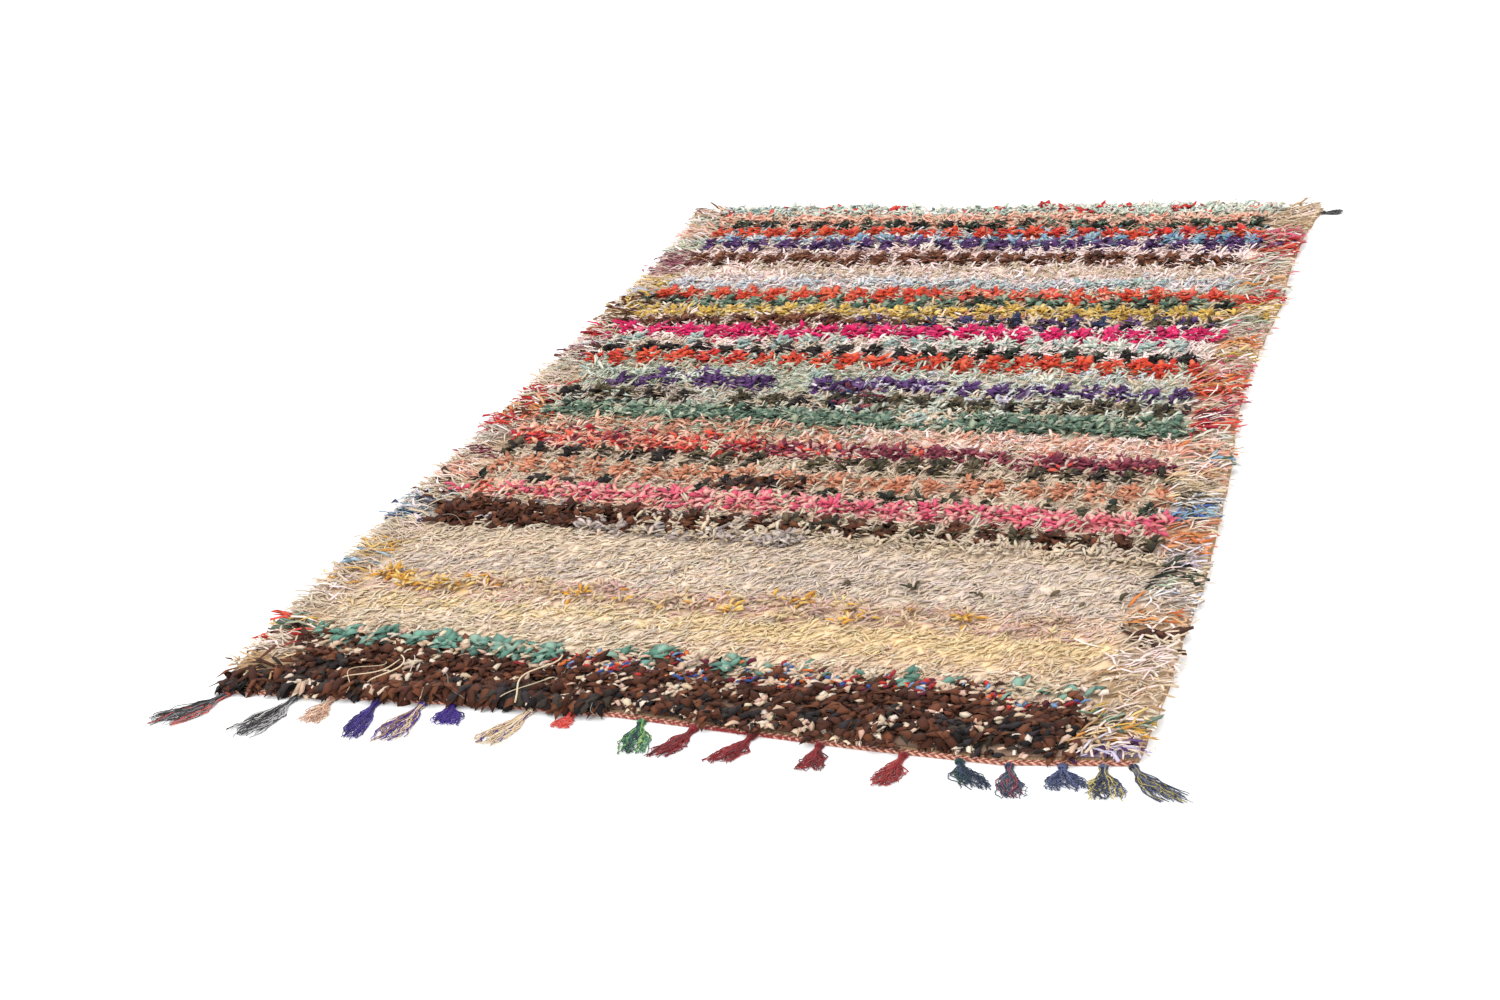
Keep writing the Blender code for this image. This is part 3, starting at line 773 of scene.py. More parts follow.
def prism_map(count, rings, sides):
    """A place on the bake map for every corner: each prism has a square cell, its sides side by
    side across it and its rings up it, with a cap below and a cap above."""
    cells = math.ceil(math.sqrt(count))
    cell = np.arange(count)
    low = np.stack([cell % cells, cell // cells], -1) / cells
    ring = np.arange(rings - 1)[:, None] + np.zeros((1, sides))
    side = np.zeros((rings - 1, 1)) + np.arange(sides)[None]
    u = np.stack([side, side, side + 1, side + 1], -1) / sides
    v = 0.14 + 0.72 * np.stack([ring, ring + 1, ring + 1, ring], -1) / (rings - 1)
    turn = 2 * np.pi * np.arange(sides) / sides
    cap = np.stack([0.5 + 0.45 * np.cos(turn), 0.06 + 0.055 * np.sin(turn)], -1)
    end = cap + [0, 0.88]
    one = np.concatenate([np.stack([u.ravel(), v.ravel()], -1), cap, end])
    inset = 0.05 + 0.9 * one
    return (low[:, None] + inset[None] / cells).reshape(-1, 2)


def fill_mesh(name, points, loops, starts, dye=None, rise=None, places=None):
    """Puts whole arrays of points, corners and faces into a new mesh object at the origin."""
    mesh = bpy.data.meshes.new(name)
    mesh.vertices.add(len(points))
    mesh.vertices.foreach_set("co", np.ascontiguousarray(points, np.float32).ravel())
    mesh.loops.add(len(loops))
    mesh.loops.foreach_set("vertex_index", np.ascontiguousarray(loops, np.int32))
    mesh.polygons.add(len(starts))
    mesh.polygons.foreach_set("loop_start", np.ascontiguousarray(starts, np.int32))
    mesh.update(calc_edges=True)
    if mesh.validate():
        raise RuntimeError(f"{name} has a face that isn't sound")
    if dye is not None:
        layer = mesh.attributes.new("dye", "FLOAT_COLOR", "POINT")
        rgba = np.concatenate([dye, np.ones((len(dye), 1))], 1)
        layer.data.foreach_set("color", rgba.astype(np.float32).ravel())
    if rise is not None:
        layer = mesh.attributes.new("rise", "FLOAT", "POINT")
        layer.data.foreach_set("value", rise.astype(np.float32).ravel())
    if places is not None:
        layer = mesh.uv_layers.new(name="OFBake")
        layer.data.foreach_set("uv", places.astype(np.float32).ravel())
    piece = bpy.data.objects.new(name, mesh)
    bpy.context.scene.collection.objects.link(piece)
    return piece


def prism_piece(name, points, dye, rise):
    """One piece from an array of prisms: strips or yarns by rings by corners of their section."""
    count, rings, sides = points.shape[:3]
    loops, starts = prism_faces(count, rings, sides)
    every = (count, rings, sides)
    colours = np.broadcast_to(dye.reshape(count, -1, 1, 3), (*every, 3)).reshape(-1, 3)
    shares = np.broadcast_to(rise, every).reshape(-1)
    places = prism_map(count, rings, sides)
    return fill_mesh(name, points.reshape(-1, 3), loops, starts, colours, shares, places)


def grid_faces(rows, columns):
    """Quads of a grid of points, facing up where its rows run along +Y and columns along +X."""
    first = (np.arange(rows - 1)[:, None] * columns + np.arange(columns - 1)[None]).ravel()
    return np.stack([first, first + 1, first + columns + 1, first + columns], -1)


def closed_slab(top, floor_height):
    """A grid of points closed into a slab: the grid on top, the same grid dropped to one height
    underneath and facing down, and a wall between their borders."""
    rows, columns = top.shape[:2]
    under = top.copy()
    under[..., 2] = floor_height
    upper = grid_faces(rows, columns)
    lower = grid_faces(rows, columns)[:, ::-1] + rows * columns
    index = np.arange(rows * columns).reshape(rows, columns)
    ring = np.concatenate([index[0, :-1], index[:-1, -1], index[-1, :0:-1], index[:0:-1, 0]])
    after = np.roll(ring, -1)
    below = rows * columns
    wall = np.stack([ring + below, after + below, after, ring], -1)
    faces = np.concatenate([upper, lower, wall])
    points = np.concatenate([top.reshape(-1, 3), under.reshape(-1, 3)])
    return points, faces.ravel(), np.arange(len(faces)) * 4


def node(tree, kind, settings=None, inputs=None):
    """Adds one node with its settings. An input's value is a number or colour, or the output
    socket of another node, which is linked."""
    made = tree.nodes.new(kind)
    for name, value in (settings or {}).items():
        setattr(made, name, value)
    for name, value in (inputs or {}).items():
        if isinstance(value, bpy.types.NodeSocket):
            tree.links.new(value, made.inputs[name])
        else:
            made.inputs[name].default_value = value
    return made


def new_material(name):
    """A material of cloth, yarn or paint, with its nodes and its shader."""
    material = bpy.data.materials.new(name)
    material.use_nodes = True
    tree = material.node_tree
    shader = tree.nodes["Principled BSDF"]
    shader.inputs["Metallic"].default_value = 0.0
    return material, tree, shader


# How large the blotches are that washing leaves
WASH_BLOTCH = 0.016


def rag_material(name, roughness, sheen, thread, bump, root):
    """Cut rag: woven cotton or knitted jersey torn into strips. The cloth is matt with a little
    fuzz and its dye is uneven from washing. Its colour is painted lighter deep in the pile, by the
    share root, as painted light that stands in for light coming through thin cloth and lifts the
    shade between strips, and a little darker where the pile is open. thread is the width
    of the yarns that show in its surface."""
    material, tree, shader = new_material(name)
    dye = node(tree, "ShaderNodeAttribute", {"attribute_name": "dye"})
    rise = node(tree, "ShaderNodeAttribute", {"attribute_name": "rise"})
    place = node(tree, "ShaderNodeTexCoord")
    worn = node(
        tree,
        "ShaderNodeTexNoise",
        {"noise_dimensions": "3D"},
        {"Vector": place.outputs["Object"], "Scale": 1 / WASH_BLOTCH, "Detail": 3.0},
    )
    limits = {"From Min": 0.3, "From Max": 0.7, "To Min": 0.92, "To Max": 1.08}
    fade = node(tree, "ShaderNodeMapRange", inputs={"Value": worn.outputs["Fac"], **limits})
    # Painted light: the colour is made root times lighter where the pile is deep and 0.96 times
    # where it is open, lifting the shade between strips
    depth = node(
        tree,
        "ShaderNodeMapRange",
        inputs={"Value": rise.outputs["Fac"], "From Max": 0.85, "To Min": root, "To Max": 0.96},
    )
    both = node(
        tree,
        "ShaderNodeMath",
        {"operation": "MULTIPLY"},
        {0: fade.outputs["Result"], 1: depth.outputs["Result"]},
    )
    colour = node(
        tree,
        "ShaderNodeVectorMath",
        {"operation": "SCALE"},
        {"Vector": dye.outputs["Color"], "Scale": both.outputs["Value"]},
    )
    yarn = node(
        tree,
        "ShaderNodeTexNoise",
        {"noise_dimensions": "3D"},
        {"Vector": place.outputs["Object"], "Scale": 1 / thread, "Detail": 1.0},
    )
    relief = node(
        tree,
        "ShaderNodeBump",
        inputs={"Height": yarn.outputs["Fac"], "Strength": bump, "Distance": thread * 0.4},
    )
    tree.links.new(colour.outputs["Vector"], shader.inputs["Base Color"])
    tree.links.new(relief.outputs["Normal"], shader.inputs["Normal"])
    shader.inputs["Roughness"].default_value = roughness
    shader.inputs["Specular IOR Level"].default_value = 0.12
    shader.inputs["Sheen Weight"].default_value = sheen
    shader.inputs["Sheen Roughness"].default_value = 0.6
    return material


# Columns: which strips it takes, its material's name, how rough and fuzzy that is, its yarn, and
# how much lighter its roots are painted, as painted light deep in the pile
PilePiece = namedtuple("PilePiece", "key name material roughness sheen thread bump root")
PILE_PIECES = listed(
    PilePiece,
    ("cream", "pile_cream_cotton", "torn_cotton_cream", 0.95, 0.10, 0.0011, 0.5, 1.45),
    ("cream_jersey", "pile_cream_jersey", "cut_jersey_cream", 0.92, 0.16, 0.0014, 0.4, 1.45),
    ("blush", "pile_blush_cotton", "torn_cotton_blush", 0.95, 0.10, 0.0012, 0.5, 1.4),
    ("dark", "pile_dark_wool", "cut_wool_dark", 1.0, 0.02, 0.0014, 0.6, 1.04),
    ("red", "pile_red_jersey", "cut_jersey_red", 0.95, 0.05, 0.0012, 0.4, 1.06),
    ("green", "pile_green_blue_cotton", "torn_cotton_green", 0.94, 0.10, 0.0011, 0.5, 1.12),
    ("yellow", "pile_yellow_tan_cotton", "torn_cotton_yellow", 0.94, 0.10, 0.0011, 0.5, 1.18),
)


# How high over the strips' roots the pile counts as fully open to the light; below it the strips'
# colour is painted lighter, as painted light
OPEN_PILE = 0.008


def build_pile():
    """The strips, joined in one piece for each cloth. A point's rise is its height over the
    strips' roots there, as a share of the height at which the pile is fully open; the lower the
    rise, the lighter the material paints its colour, as painted light."""
    strips, piece = lay_strips()
    points = strip_points(strips)
    ground = bpy.context.scene.rug_sizes.bed_height * ROOT_SHARE
    ground = ground + ripple(LUMPS, points[..., 0] + MIDDLE[0], points[..., 1] + MIDDLE[1])
    rise = np.clip((points[..., 2] - ground) / OPEN_PILE, 0, 1)
    made = []
    for row in PILE_PIECES:
        chosen = piece == row.key
        pile = prism_piece(row.name, points[chosen], strips.dye[chosen], rise[chosen])
        pile.data.materials.append(
            rag_material(row.material, row.roughness, row.sheen, row.thread, row.bump, row.root)
        )
        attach(pile, "root")
        made.append(pile)
    return made


BED_COLUMNS = 61
BED_ROWS = 133


def build_bed():
    """The mat of knots that the strips grow from: it swells in the same slow lumps as the CAD, and
    drops at the rim."""
    sizes = bpy.context.scene.rug_sizes
    share_along, share_across = np.meshgrid(
        np.linspace(0, 1, BED_ROWS), np.linspace(0, 1, BED_COLUMNS), indexing="ij"
    )
    inset = 0.004
    across, along = pile_point(
        inset + share_across * (1 - 2 * inset), inset + share_along * (1 - 2 * inset)
    )
    rim = np.minimum(1 - np.abs(2 * share_across - 1), (1 - np.abs(2 * share_along - 1)) * 1.6)
    rim = np.clip(rim / 0.03, 0, 1)
    height = sizes.bed_height * (0.45 + 0.55 * rim)
    height = height + ripple(LUMPS, across, along) * rim
    points, loops, starts = closed_slab(to_row(across, along, height), sizes.ground_thickness)
    rng = np.random.default_rng(SEED + 3)
    u, v = across.ravel(), along.ravel()
    rags, _, _, _, side = choose_rags(u, v - drift(u, v), np.arange(len(u)))
    mean = {name: palette(rag.dyes).mean(0) for name, rag in RAGS.items()}
    dye = np.array([np.mean([mean[name] for name in mixed(text)], 0) for text in rags])
    border = (side != 0)[:, None]
    dye = np.where(border & (v > -1.12)[:, None], (dye + mean["tan"]) / 2, dye)
    # In the borders the mat's colour is painted darker, as painted shade in the gaps, and elsewhere
    # painted lighter, as painted light for the light that pale cloth lets down to it
    dye = dye * np.where(border, 0.8, 1.12)
    dye = np.clip(dye * np.exp(rng.normal(0, 0.1, (len(dye), 1))), 0, 1)
    dye = np.concatenate([dye, dye])
    # The mat's rise is 0.25 everywhere, so its material paints a fixed amount of painted light into
    # its colour
    bed = fill_mesh("pile_bed", points, loops, starts, dye, np.full(len(dye), 0.25))
    bed.data.materials.append(rag_material("packed_rag_knots", 0.97, 0.05, 0.0016, 0.7, 1.15))
    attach(bed, "root")
    return bed


# From thread to thread of the woven ground, in metres
WEFT_PITCH, WARP_PITCH = 0.002, 0.005
# A wave texture of scale 1 repeats in this many metres
WAVE_PERIOD = 0.314


def weave_material():
    """Plain weave of hand-spun wool and cotton: matt, warm beige, its weft packed tight. The real
    weft threads are 2 mm apart and the warp threads 5 mm."""
    colours = bpy.context.scene.rug_colours
    material, tree, shader = new_material("plain_weave_wool")
    place = node(tree, "ShaderNodeTexCoord")
    threads = []
    for direction, pitch, wobble in (("Y", WEFT_PITCH, 1.2), ("X", WARP_PITCH, 0.6)):
        bands = {"wave_type": "BANDS", "bands_direction": direction}
        inputs = {"Scale": WAVE_PERIOD / pitch, "Distortion": wobble, "Detail": 1.0}
        inputs["Vector"] = place.outputs["Object"]
        threads.append(node(tree, "ShaderNodeTexWave", bands, inputs).outputs["Fac"])
    both = node(tree, "ShaderNodeMath", {"operation": "MULTIPLY"}, dict(enumerate(threads)))
    # The colour is the wool's own where both threads' bands are high, and darkens towards
    # ground_painted_shade in the grooves between threads, as painted shade
    wool = node(
        tree,
        "ShaderNodeMix",
        {"data_type": "RGBA"},
        {
            "Factor": both.outputs["Value"],
            "A": (*colours.ground_painted_shade, 1.0),
            "B": (*colours.ground_light, 1.0),
        },
    )
    relief = node(
        tree,
        "ShaderNodeBump",
        inputs={"Height": both.outputs["Value"], "Strength": 0.8, "Distance": 0.001},
    )
    tree.links.new(wool.outputs["Result"], shader.inputs["Base Color"])
    tree.links.new(relief.outputs["Normal"], shader.inputs["Normal"])
    shader.inputs["Roughness"].default_value = 0.95
    shader.inputs["Specular IOR Level"].default_value = 0.2
    return material


def build_ground():
    """The woven ground: the rug's shape as a grid, as thick as its cloth, closed all round."""
    sizes = bpy.context.scene.rug_sizes
    share_along, share_across = np.meshgrid(
        np.linspace(0, 1, 60), np.linspace(0, 1, 15), indexing="ij"
    )
    across, along = pile_point(share_across, share_along)
    fray = 0.0015 * np.sin(along / 0.011) * (np.abs(2 * share_across - 1) > 0.999)
    across = across + fray * np.sign(share_across - 0.5)
    height = np.full(across.shape, sizes.ground_thickness)
    points, loops, starts = closed_slab(to_row(across, along, height), 0.0)
    ground = fill_mesh("ground_weave", points, loops, starts)
    ground.data.materials.append(weave_material())
    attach(ground, "root")
    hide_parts("pile_rug")
    return ground


def path_frame(path):
    """Unit vectors along a path, level across it, and above it, at each of its points."""
    ahead = np.gradient(path, axis=-2)
    ahead /= np.linalg.norm(ahead, axis=-1, keepdims=True)
    across = np.cross(np.broadcast_to([0.0, 0.0, 1.0], ahead.shape), ahead)
    across /= np.maximum(np.linalg.norm(across, axis=-1, keepdims=True), 1e-9)
    return ahead, across, np.cross(ahead, across)


def tubes(path, radius, sides):
    """Carries a regular section along each path: (paths, rings, sides, 3) from (paths, rings, 3).
    The radius is a number for each ring of each path."""
    _, across, above = path_frame(path)
    turn = -2 * np.pi * np.arange(sides) / sides
    aside = across[..., None, :] * np.cos(turn)[:, None]
    around = aside + above[..., None, :] * np.sin(turn)[:, None]
    return path[..., None, :] + around * radius[..., None, None]


def yarn_material(name, roughness=0.9, twist=0.0016):
    """Hand-spun wool yarn: matt and fuzzy, its plies seen as fine slanting light and shade."""
    material, tree, shader = new_material(name)
    dye = node(tree, "ShaderNodeAttribute", {"attribute_name": "dye"})
    place = node(tree, "ShaderNodeTexCoord")
    ply = node(
        tree,
        "ShaderNodeTexNoise",
        inputs={"Vector": place.outputs["Object"], "Scale": 1 / twist, "Detail": 2.0},
    )
    limits = {"From Min": 0.3, "From Max": 0.7, "To Min": 0.7, "To Max": 1.25}
    shade = node(tree, "ShaderNodeMapRange", inputs={"Value": ply.outputs["Fac"], **limits})
    colour = node(
        tree,
        "ShaderNodeVectorMath",
        {"operation": "SCALE"},
        {"Vector": dye.outputs["Color"], "Scale": shade.outputs["Result"]},
    )
    relief = node(
        tree,
        "ShaderNodeBump",
        inputs={"Height": ply.outputs["Fac"], "Strength": 0.6, "Distance": 0.0006},
    )
    tree.links.new(colour.outputs["Vector"], shader.inputs["Base Color"])
    tree.links.new(relief.outputs["Normal"], shader.inputs["Normal"])
    shader.inputs["Roughness"].default_value = roughness
    shader.inputs["Specular IOR Level"].default_value = 0.2
    shader.inputs["Sheen Weight"].default_value = 0.15
    return material


# The two-ply cords of the end band. Columns: how far out from the pile, height, which way twined
BandCord = namedtuple("BandCord", "out height turn")
BAND_CORDS = (BandCord(2.9, 2.9, 1), BandCord(8.1, 2.7, -1))
BAND_RINGS = 700
BAND_PITCH = 0.0125


def build_band():
    """Two cords twined side by side along the near end. Each is two round plies that circle the
    cord's middle line once in a pitch, half a turn apart."""
    across = np.linspace(left_edge(-1.19) + 0.006, right_edge(-1.19) - 0.006, BAND_RINGS)
    turns = 2 * np.pi * across / BAND_PITCH
    rng = np.random.default_rng(SEED + 4)
    colours = bpy.context.scene.rug_colours
    paths = []
    dyes = []
    red = np.clip(1 - np.abs(across - 0.14) / 0.22, 0, 1)
    for cord in BAND_CORDS:
        for ply in range(2):
            angle = cord.turn * turns + np.pi * ply
            out = near_end(across) - (cord.out + 0.3) * MM - 1.5 * MM * np.cos(angle)
            height = cord.height * MM + 1.25 * MM * np.sin(angle)
            paths.append(to_row(across, out, height))
            base = np.array(colours.band_light if ply else colours.band_dark)
            wrapped = (rng.random(BAND_RINGS) < red * 0.9)[:, None]
            dyes.append(np.where(wrapped & (cord.out > 5), np.array(colours.band_wrap), base))
    path = np.array(paths)
    dye = np.array(dyes) * np.exp(rng.normal(0, 0.08, (len(path), BAND_RINGS, 1)))
    points = tubes(path, np.full(path.shape[:2], 1.45 * MM), 5)
    band = prism_piece("end_band_twining", points, dye, 1.0)
    band.data.materials.append(yarn_material("twined_wool_yarn"))
    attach(band, "root")
    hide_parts("end_band")
    return band


YARNS = 44
YARN_RINGS = 18
YARN_SIDES = 3
HEAD = np.array([19.0, 15.0, 9.4]) * MM


def tassel_yarns(tassel, rng):
    """The yarns of one tassel, its head's back at the origin and its tips towards -Y. They leave
    the head through a narrow neck, spread into a low heap, lean as the row says, and are kinked
    by two sine waves each, a long one and a short one, that grow along them."""
    share = np.linspace(0, 1, YARN_RINGS)[None]
    lane = rng.uniform(-0.5, 0.5, (YARNS, 1))
    layer = rng.uniform(0, 1, (YARNS, 1)) * (1 - (2 * lane) ** 2) ** 0.5
    open_up = np.clip((share - 0.16) / 0.5, 0, 1)
    open_up = open_up * open_up * (3 - 2 * open_up)
    neck = HEAD[0] * (0.8 - 0.35 * np.clip(share / 0.16, 0, 1))
    width = neck + (tassel.spread * MM - neck) * open_up
    free = np.clip((share - 0.1) / 0.5, 0, 1)
    kink = 0.0
    for least, most, slow, fast in ((2.5, 8.5, 0.6, 1.8), (1.0, 3.0, 2.5, 6.0)):
        turns = rng.uniform(slow, fast, (YARNS, 1))
        size = rng.uniform(least, most, (YARNS, 1)) * MM
        kink = kink + size * np.sin(2 * np.pi * turns * share + rng.uniform(0, 6.3, (YARNS, 1)))
    across = lane * width + tassel.lean * MM * share**1.25 + kink * free
    length = (tassel.length * MM - 0.002) * rng.uniform(0.66, 1.0, (YARNS, 1)) ** 0.8
    shuffle = 0.002 * np.sin(2 * np.pi * share * rng.uniform(2, 4, (YARNS, 1)) + 9 * lane)
    along = -0.002 - length * share + shuffle * free
    radius = rng.uniform(0.75, 1.3, (YARNS, 1)) * MM * (1 - 0.3 * share**2)
    heap = HEAD[2] * (1 - 0.35 * np.clip(share / 0.2, 0, 1)) * (1 - 0.35 * share)
    height = radius + 0.3 * MM + layer * np.maximum(heap - 2 * radius, 0)
    height = height + 0.8 * MM * free * rng.uniform(0, 1, (YARNS, 1)) * (1 + np.sin(20 * share))
    path = np.stack([across, along, height], -1)
    dyes = palette(tassel.yarns)
    dye = dyes[rng.integers(0, len(dyes), YARNS)][:, None]
    dye = dye * np.exp(rng.normal(0, 0.12, (YARNS, 1, 1)))
    return tubes(path, radius, YARN_SIDES), np.broadcast_to(dye, (YARNS, YARN_RINGS, 3))


HEAD_WRAPS = 4


def tassel_head(tassel, rng):
    """The knot of the head: one coil of yarn of a whole number of turns round the neck, each turn
    an oval that shrinks towards the neck's two ends."""
    rings = HEAD_WRAPS * 16
    turn = np.linspace(0, 2 * np.pi * HEAD_WRAPS, rings)
    share = np.linspace(0.08, 0.72, rings)
    girth = np.sqrt(1 - (1.5 * (share - 0.4)) ** 2)
    radius = 1.1 * MM
    half = HEAD * np.array([0.32, 1.0, 0.42])
    wobble = 1 + 0.05 * np.sin(turn * 2.3 + rng.uniform(0, 6))
    path = np.stack(
        [
            (half[0] - radius) * girth * wobble * np.cos(turn),
            -HEAD[1] * share,
            half[2] + 0.3 * MM + (half[2] - radius) * girth * np.sin(turn),
        ],
        -1,
    )[None]
    ahead = np.gradient(path, axis=-2)
    ahead /= np.linalg.norm(ahead, axis=-1, keepdims=True)
    across = np.broadcast_to([0.0, 1.0, 0.0], ahead.shape)
    above = np.cross(ahead, across)
    spin = -2 * np.pi * np.arange(4) / 4
    aside = across[..., None, :] * np.cos(spin)[:, None]
    around = aside + above[..., None, :] * np.sin(spin)[:, None]
    points = path[..., None, :] + around * radius
    dyes = palette(tassel.yarns)
    dye = np.broadcast_to(dyes[rng.integers(0, len(dyes))] * 0.9, (1, rings, 3))
    return points, dye


def head_back(line_across, line_along, centre):
    """The foremost point of an edge behind a head centred here, as in the CAD."""
    reach = np.linspace(centre - HEAD[0] / 2, centre + HEAD[0] / 2, 7)
    return np.interp(reach, line_across, line_along)


def tassel_place(tassel):
    """Where a tassel's head starts, and which way it turns, from the edge that it is tied to."""
    shares = np.linspace(0, 1, 51)
    if tassel is FAR_TASSEL:
        side_across, side_along = pile_point(np.ones(89), np.linspace(0, 1, 89))
        centre = FAR_TASSEL_ALONG * MM
        out = head_back(side_along, side_across, centre).max() + 0.3 * MM
        return np.array([out, centre]), math.pi / 2
    line_across, line_along = pile_point(shares, np.zeros(51))
    centre = tassel.across * MM
    out = head_back(line_across, line_along, centre).min() - 11.6 * MM
    return np.array([centre, out]), 0.0


def join_prisms(name, parts):
    """One piece from several arrays of prisms of different ring and side counts."""
    points, loops, starts, dyes, places = [], [], [], [], []
    vertex = corner = 0
    for number, (prisms, dye) in enumerate(parts):
        count, rings, sides = prisms.shape[:3]
        face_loops, face_starts = prism_faces(count, rings, sides)
        spot = prism_map(count, rings, sides)
        spot = spot * [0.98 / len(parts), 0.98] + [number / len(parts), 0]
        points.append(prisms.reshape(-1, 3))
        loops.append(face_loops + vertex)
        starts.append(face_starts + corner)
        dyes.append(np.broadcast_to(dye[:, :, None], prisms.shape).reshape(-1, 3))
        places.append(spot)
        vertex += count * rings * sides
        corner += len(face_loops)
    arrays = [np.concatenate(one) for one in (points, loops, starts, dyes)]
    return fill_mesh(name, *arrays, None, np.concatenate(places))


def build_tassels():
    material = yarn_material("frayed_wool_yarn", 0.92, 0.0013)
    made = []
    for number, tassel in enumerate((*TASSELS, FAR_TASSEL)):
        rng = np.random.default_rng(SEED + 50 + number)
        place, turn = tassel_place(tassel)
        parts = []
        for points, dye in (tassel_yarns(tassel, rng), tassel_head(tassel, rng)):
            x = points[..., 0] * math.cos(turn) - points[..., 1] * math.sin(turn)
            y = points[..., 0] * math.sin(turn) + points[..., 1] * math.cos(turn)
            parts.append((to_row(x + place[0], y + place[1], points[..., 2]), dye))
        piece = join_prisms("yarn_" + tassel.node, parts)
        piece.data.materials.append(material)
        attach(piece, "root")
        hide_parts(tassel.node)
        made.append(piece)
    return made


STRAY_RINGS = 22


def build_strays():
    """Loose threads: each runs from one point to another, curling sideways as a sine of its
    share, arched over the pile and down at both ends."""
    share = np.linspace(0, 1, STRAY_RINGS)
    paths = []
    radii = []
    dyes = []
    for stray in STRAYS:
        start = np.array([stray.x0, stray.y0]) * MM
        run = np.array([stray.x1, stray.y1]) * MM - start
        aside = np.array([-run[1], run[0]]) / np.linalg.norm(run)
        curl = stray.curl * MM * np.sin(2 * np.pi * stray.turns * share)
        line = start + run * share[:, None] + aside * curl[:, None]
        height = stray.height * MM * (0.62 + 0.38 * np.sin(np.pi * share) ** 0.5)
        paths.append(to_row(line[:, 0], line[:, 1], height))
        radii.append(np.full(STRAY_RINGS, stray.thick * MM / 2))
        dyes.append(np.broadcast_to(linear(stray.dye), (STRAY_RINGS, 3)))
    points = tubes(np.array(paths), np.array(radii), 5)
    strays = prism_piece("stray_threads", points, np.array(dyes), 1.0)
    strays.data.materials.append(yarn_material("loose_cotton_thread"))
    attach(strays, "root")
    return strays


CAMERA_PLACE = Vector((1.312, -4.125, 1.785)) - Vector((*MIDDLE, 0.0))
CAMERA_AHEAD = Vector((-0.3219, 0.8534, -0.4101))
CAMERA_UP = Vector((-0.0326, 0.4229, 0.9056))
CAMERA_LENS = 59.19


def build_camera():
    data = bpy.data.cameras.new("photo_camera")
    data.lens = CAMERA_LENS
    data.sensor_width = 36.0
    camera = bpy.data.objects.new("photo_camera", data)
    right = CAMERA_AHEAD.cross(CAMERA_UP).normalized()
    above = right.cross(CAMERA_AHEAD).normalized()
    turn = Matrix((right, above, -CAMERA_AHEAD.normalized())).transposed()
    camera.matrix_world = Matrix.Translation(CAMERA_PLACE) @ turn.to_4x4()
    bpy.context.scene.collection.objects.link(camera)
    bpy.context.scene.camera = camera


def build_floor():
    """A plain white studio floor: painted board, matt, so that it shows only soft shadow."""
    material, tree, shader = new_material("matt_white_paint")
    shader.inputs["Base Color"].default_value = (*bpy.context.scene.rug_colours.floor, 1.0)
    shader.inputs["Roughness"].default_value = 0.9
    shader.inputs["Specular IOR Level"].default_value = 0.0
    half = 14.0
    corners = np.array([[-half, -half, 0], [half, -half, 0], [half, half, 0], [-half, half, 0]])
    floor = fill_mesh("floor", corners, np.arange(4), np.array([0]))
    floor.data.materials.append(material)


# How wide the broad light is seen, and how far it is tipped back and to the left, in degrees
KEY_WIDTH, KEY_TIPS = 50, (38, -22)


def build_light():
    """One broad soft light high at the left behind the camera, and an even white surround."""
    look = bpy.context.scene.rug_studio
    world = bpy.data.worlds.new("studio")
    world.use_nodes = True
    sky = world.node_tree.nodes["Background"]
    sky.inputs["Color"].default_value = (1.0, 1.0, 1.0, 1.0)
    sky.inputs["Strength"].default_value = look.surround
    bpy.context.scene.world = world
    data = bpy.data.lights.new("soft_key", "SUN")
    data.energy = look.key
    data.angle = math.radians(KEY_WIDTH)
    sun = bpy.data.objects.new("soft_key", data)
    sun.rotation_euler = (math.radians(KEY_TIPS[0]), math.radians(KEY_TIPS[1]), 0)
    bpy.context.scene.collection.objects.link(sun)


class RugSizes(bpy.types.PropertyGroup):
    """Sizes of the rug that a user may change."""

    strip_width: bpy.props.FloatProperty(
        name="Strip width",
        description="Width of every rag strip, as a share",
        default=1.0,
        min=0.3,
        max=2.0
    )
    strip_length: bpy.props.FloatProperty(
        name="Strip length",
        description="Length of every rag strip, as a share",
        default=1.0,
        min=0.3,
        max=2.0
    )
    strip_thickness: bpy.props.FloatProperty(
        name="Strip thickness",
        description="Thickness of one rag strip",
        default=0.0013,
        unit="LENGTH"
    )
    bed_height: bpy.props.FloatProperty(
        name="Bed height",
        description="Height of the packed knots under the strips",
        default=0.0115,
        unit="LENGTH"
    )
    ground_thickness: bpy.props.FloatProperty(
        name="Ground thickness",
        description="Thickness of the woven ground",
        default=0.0022,
        unit="LENGTH"
    )


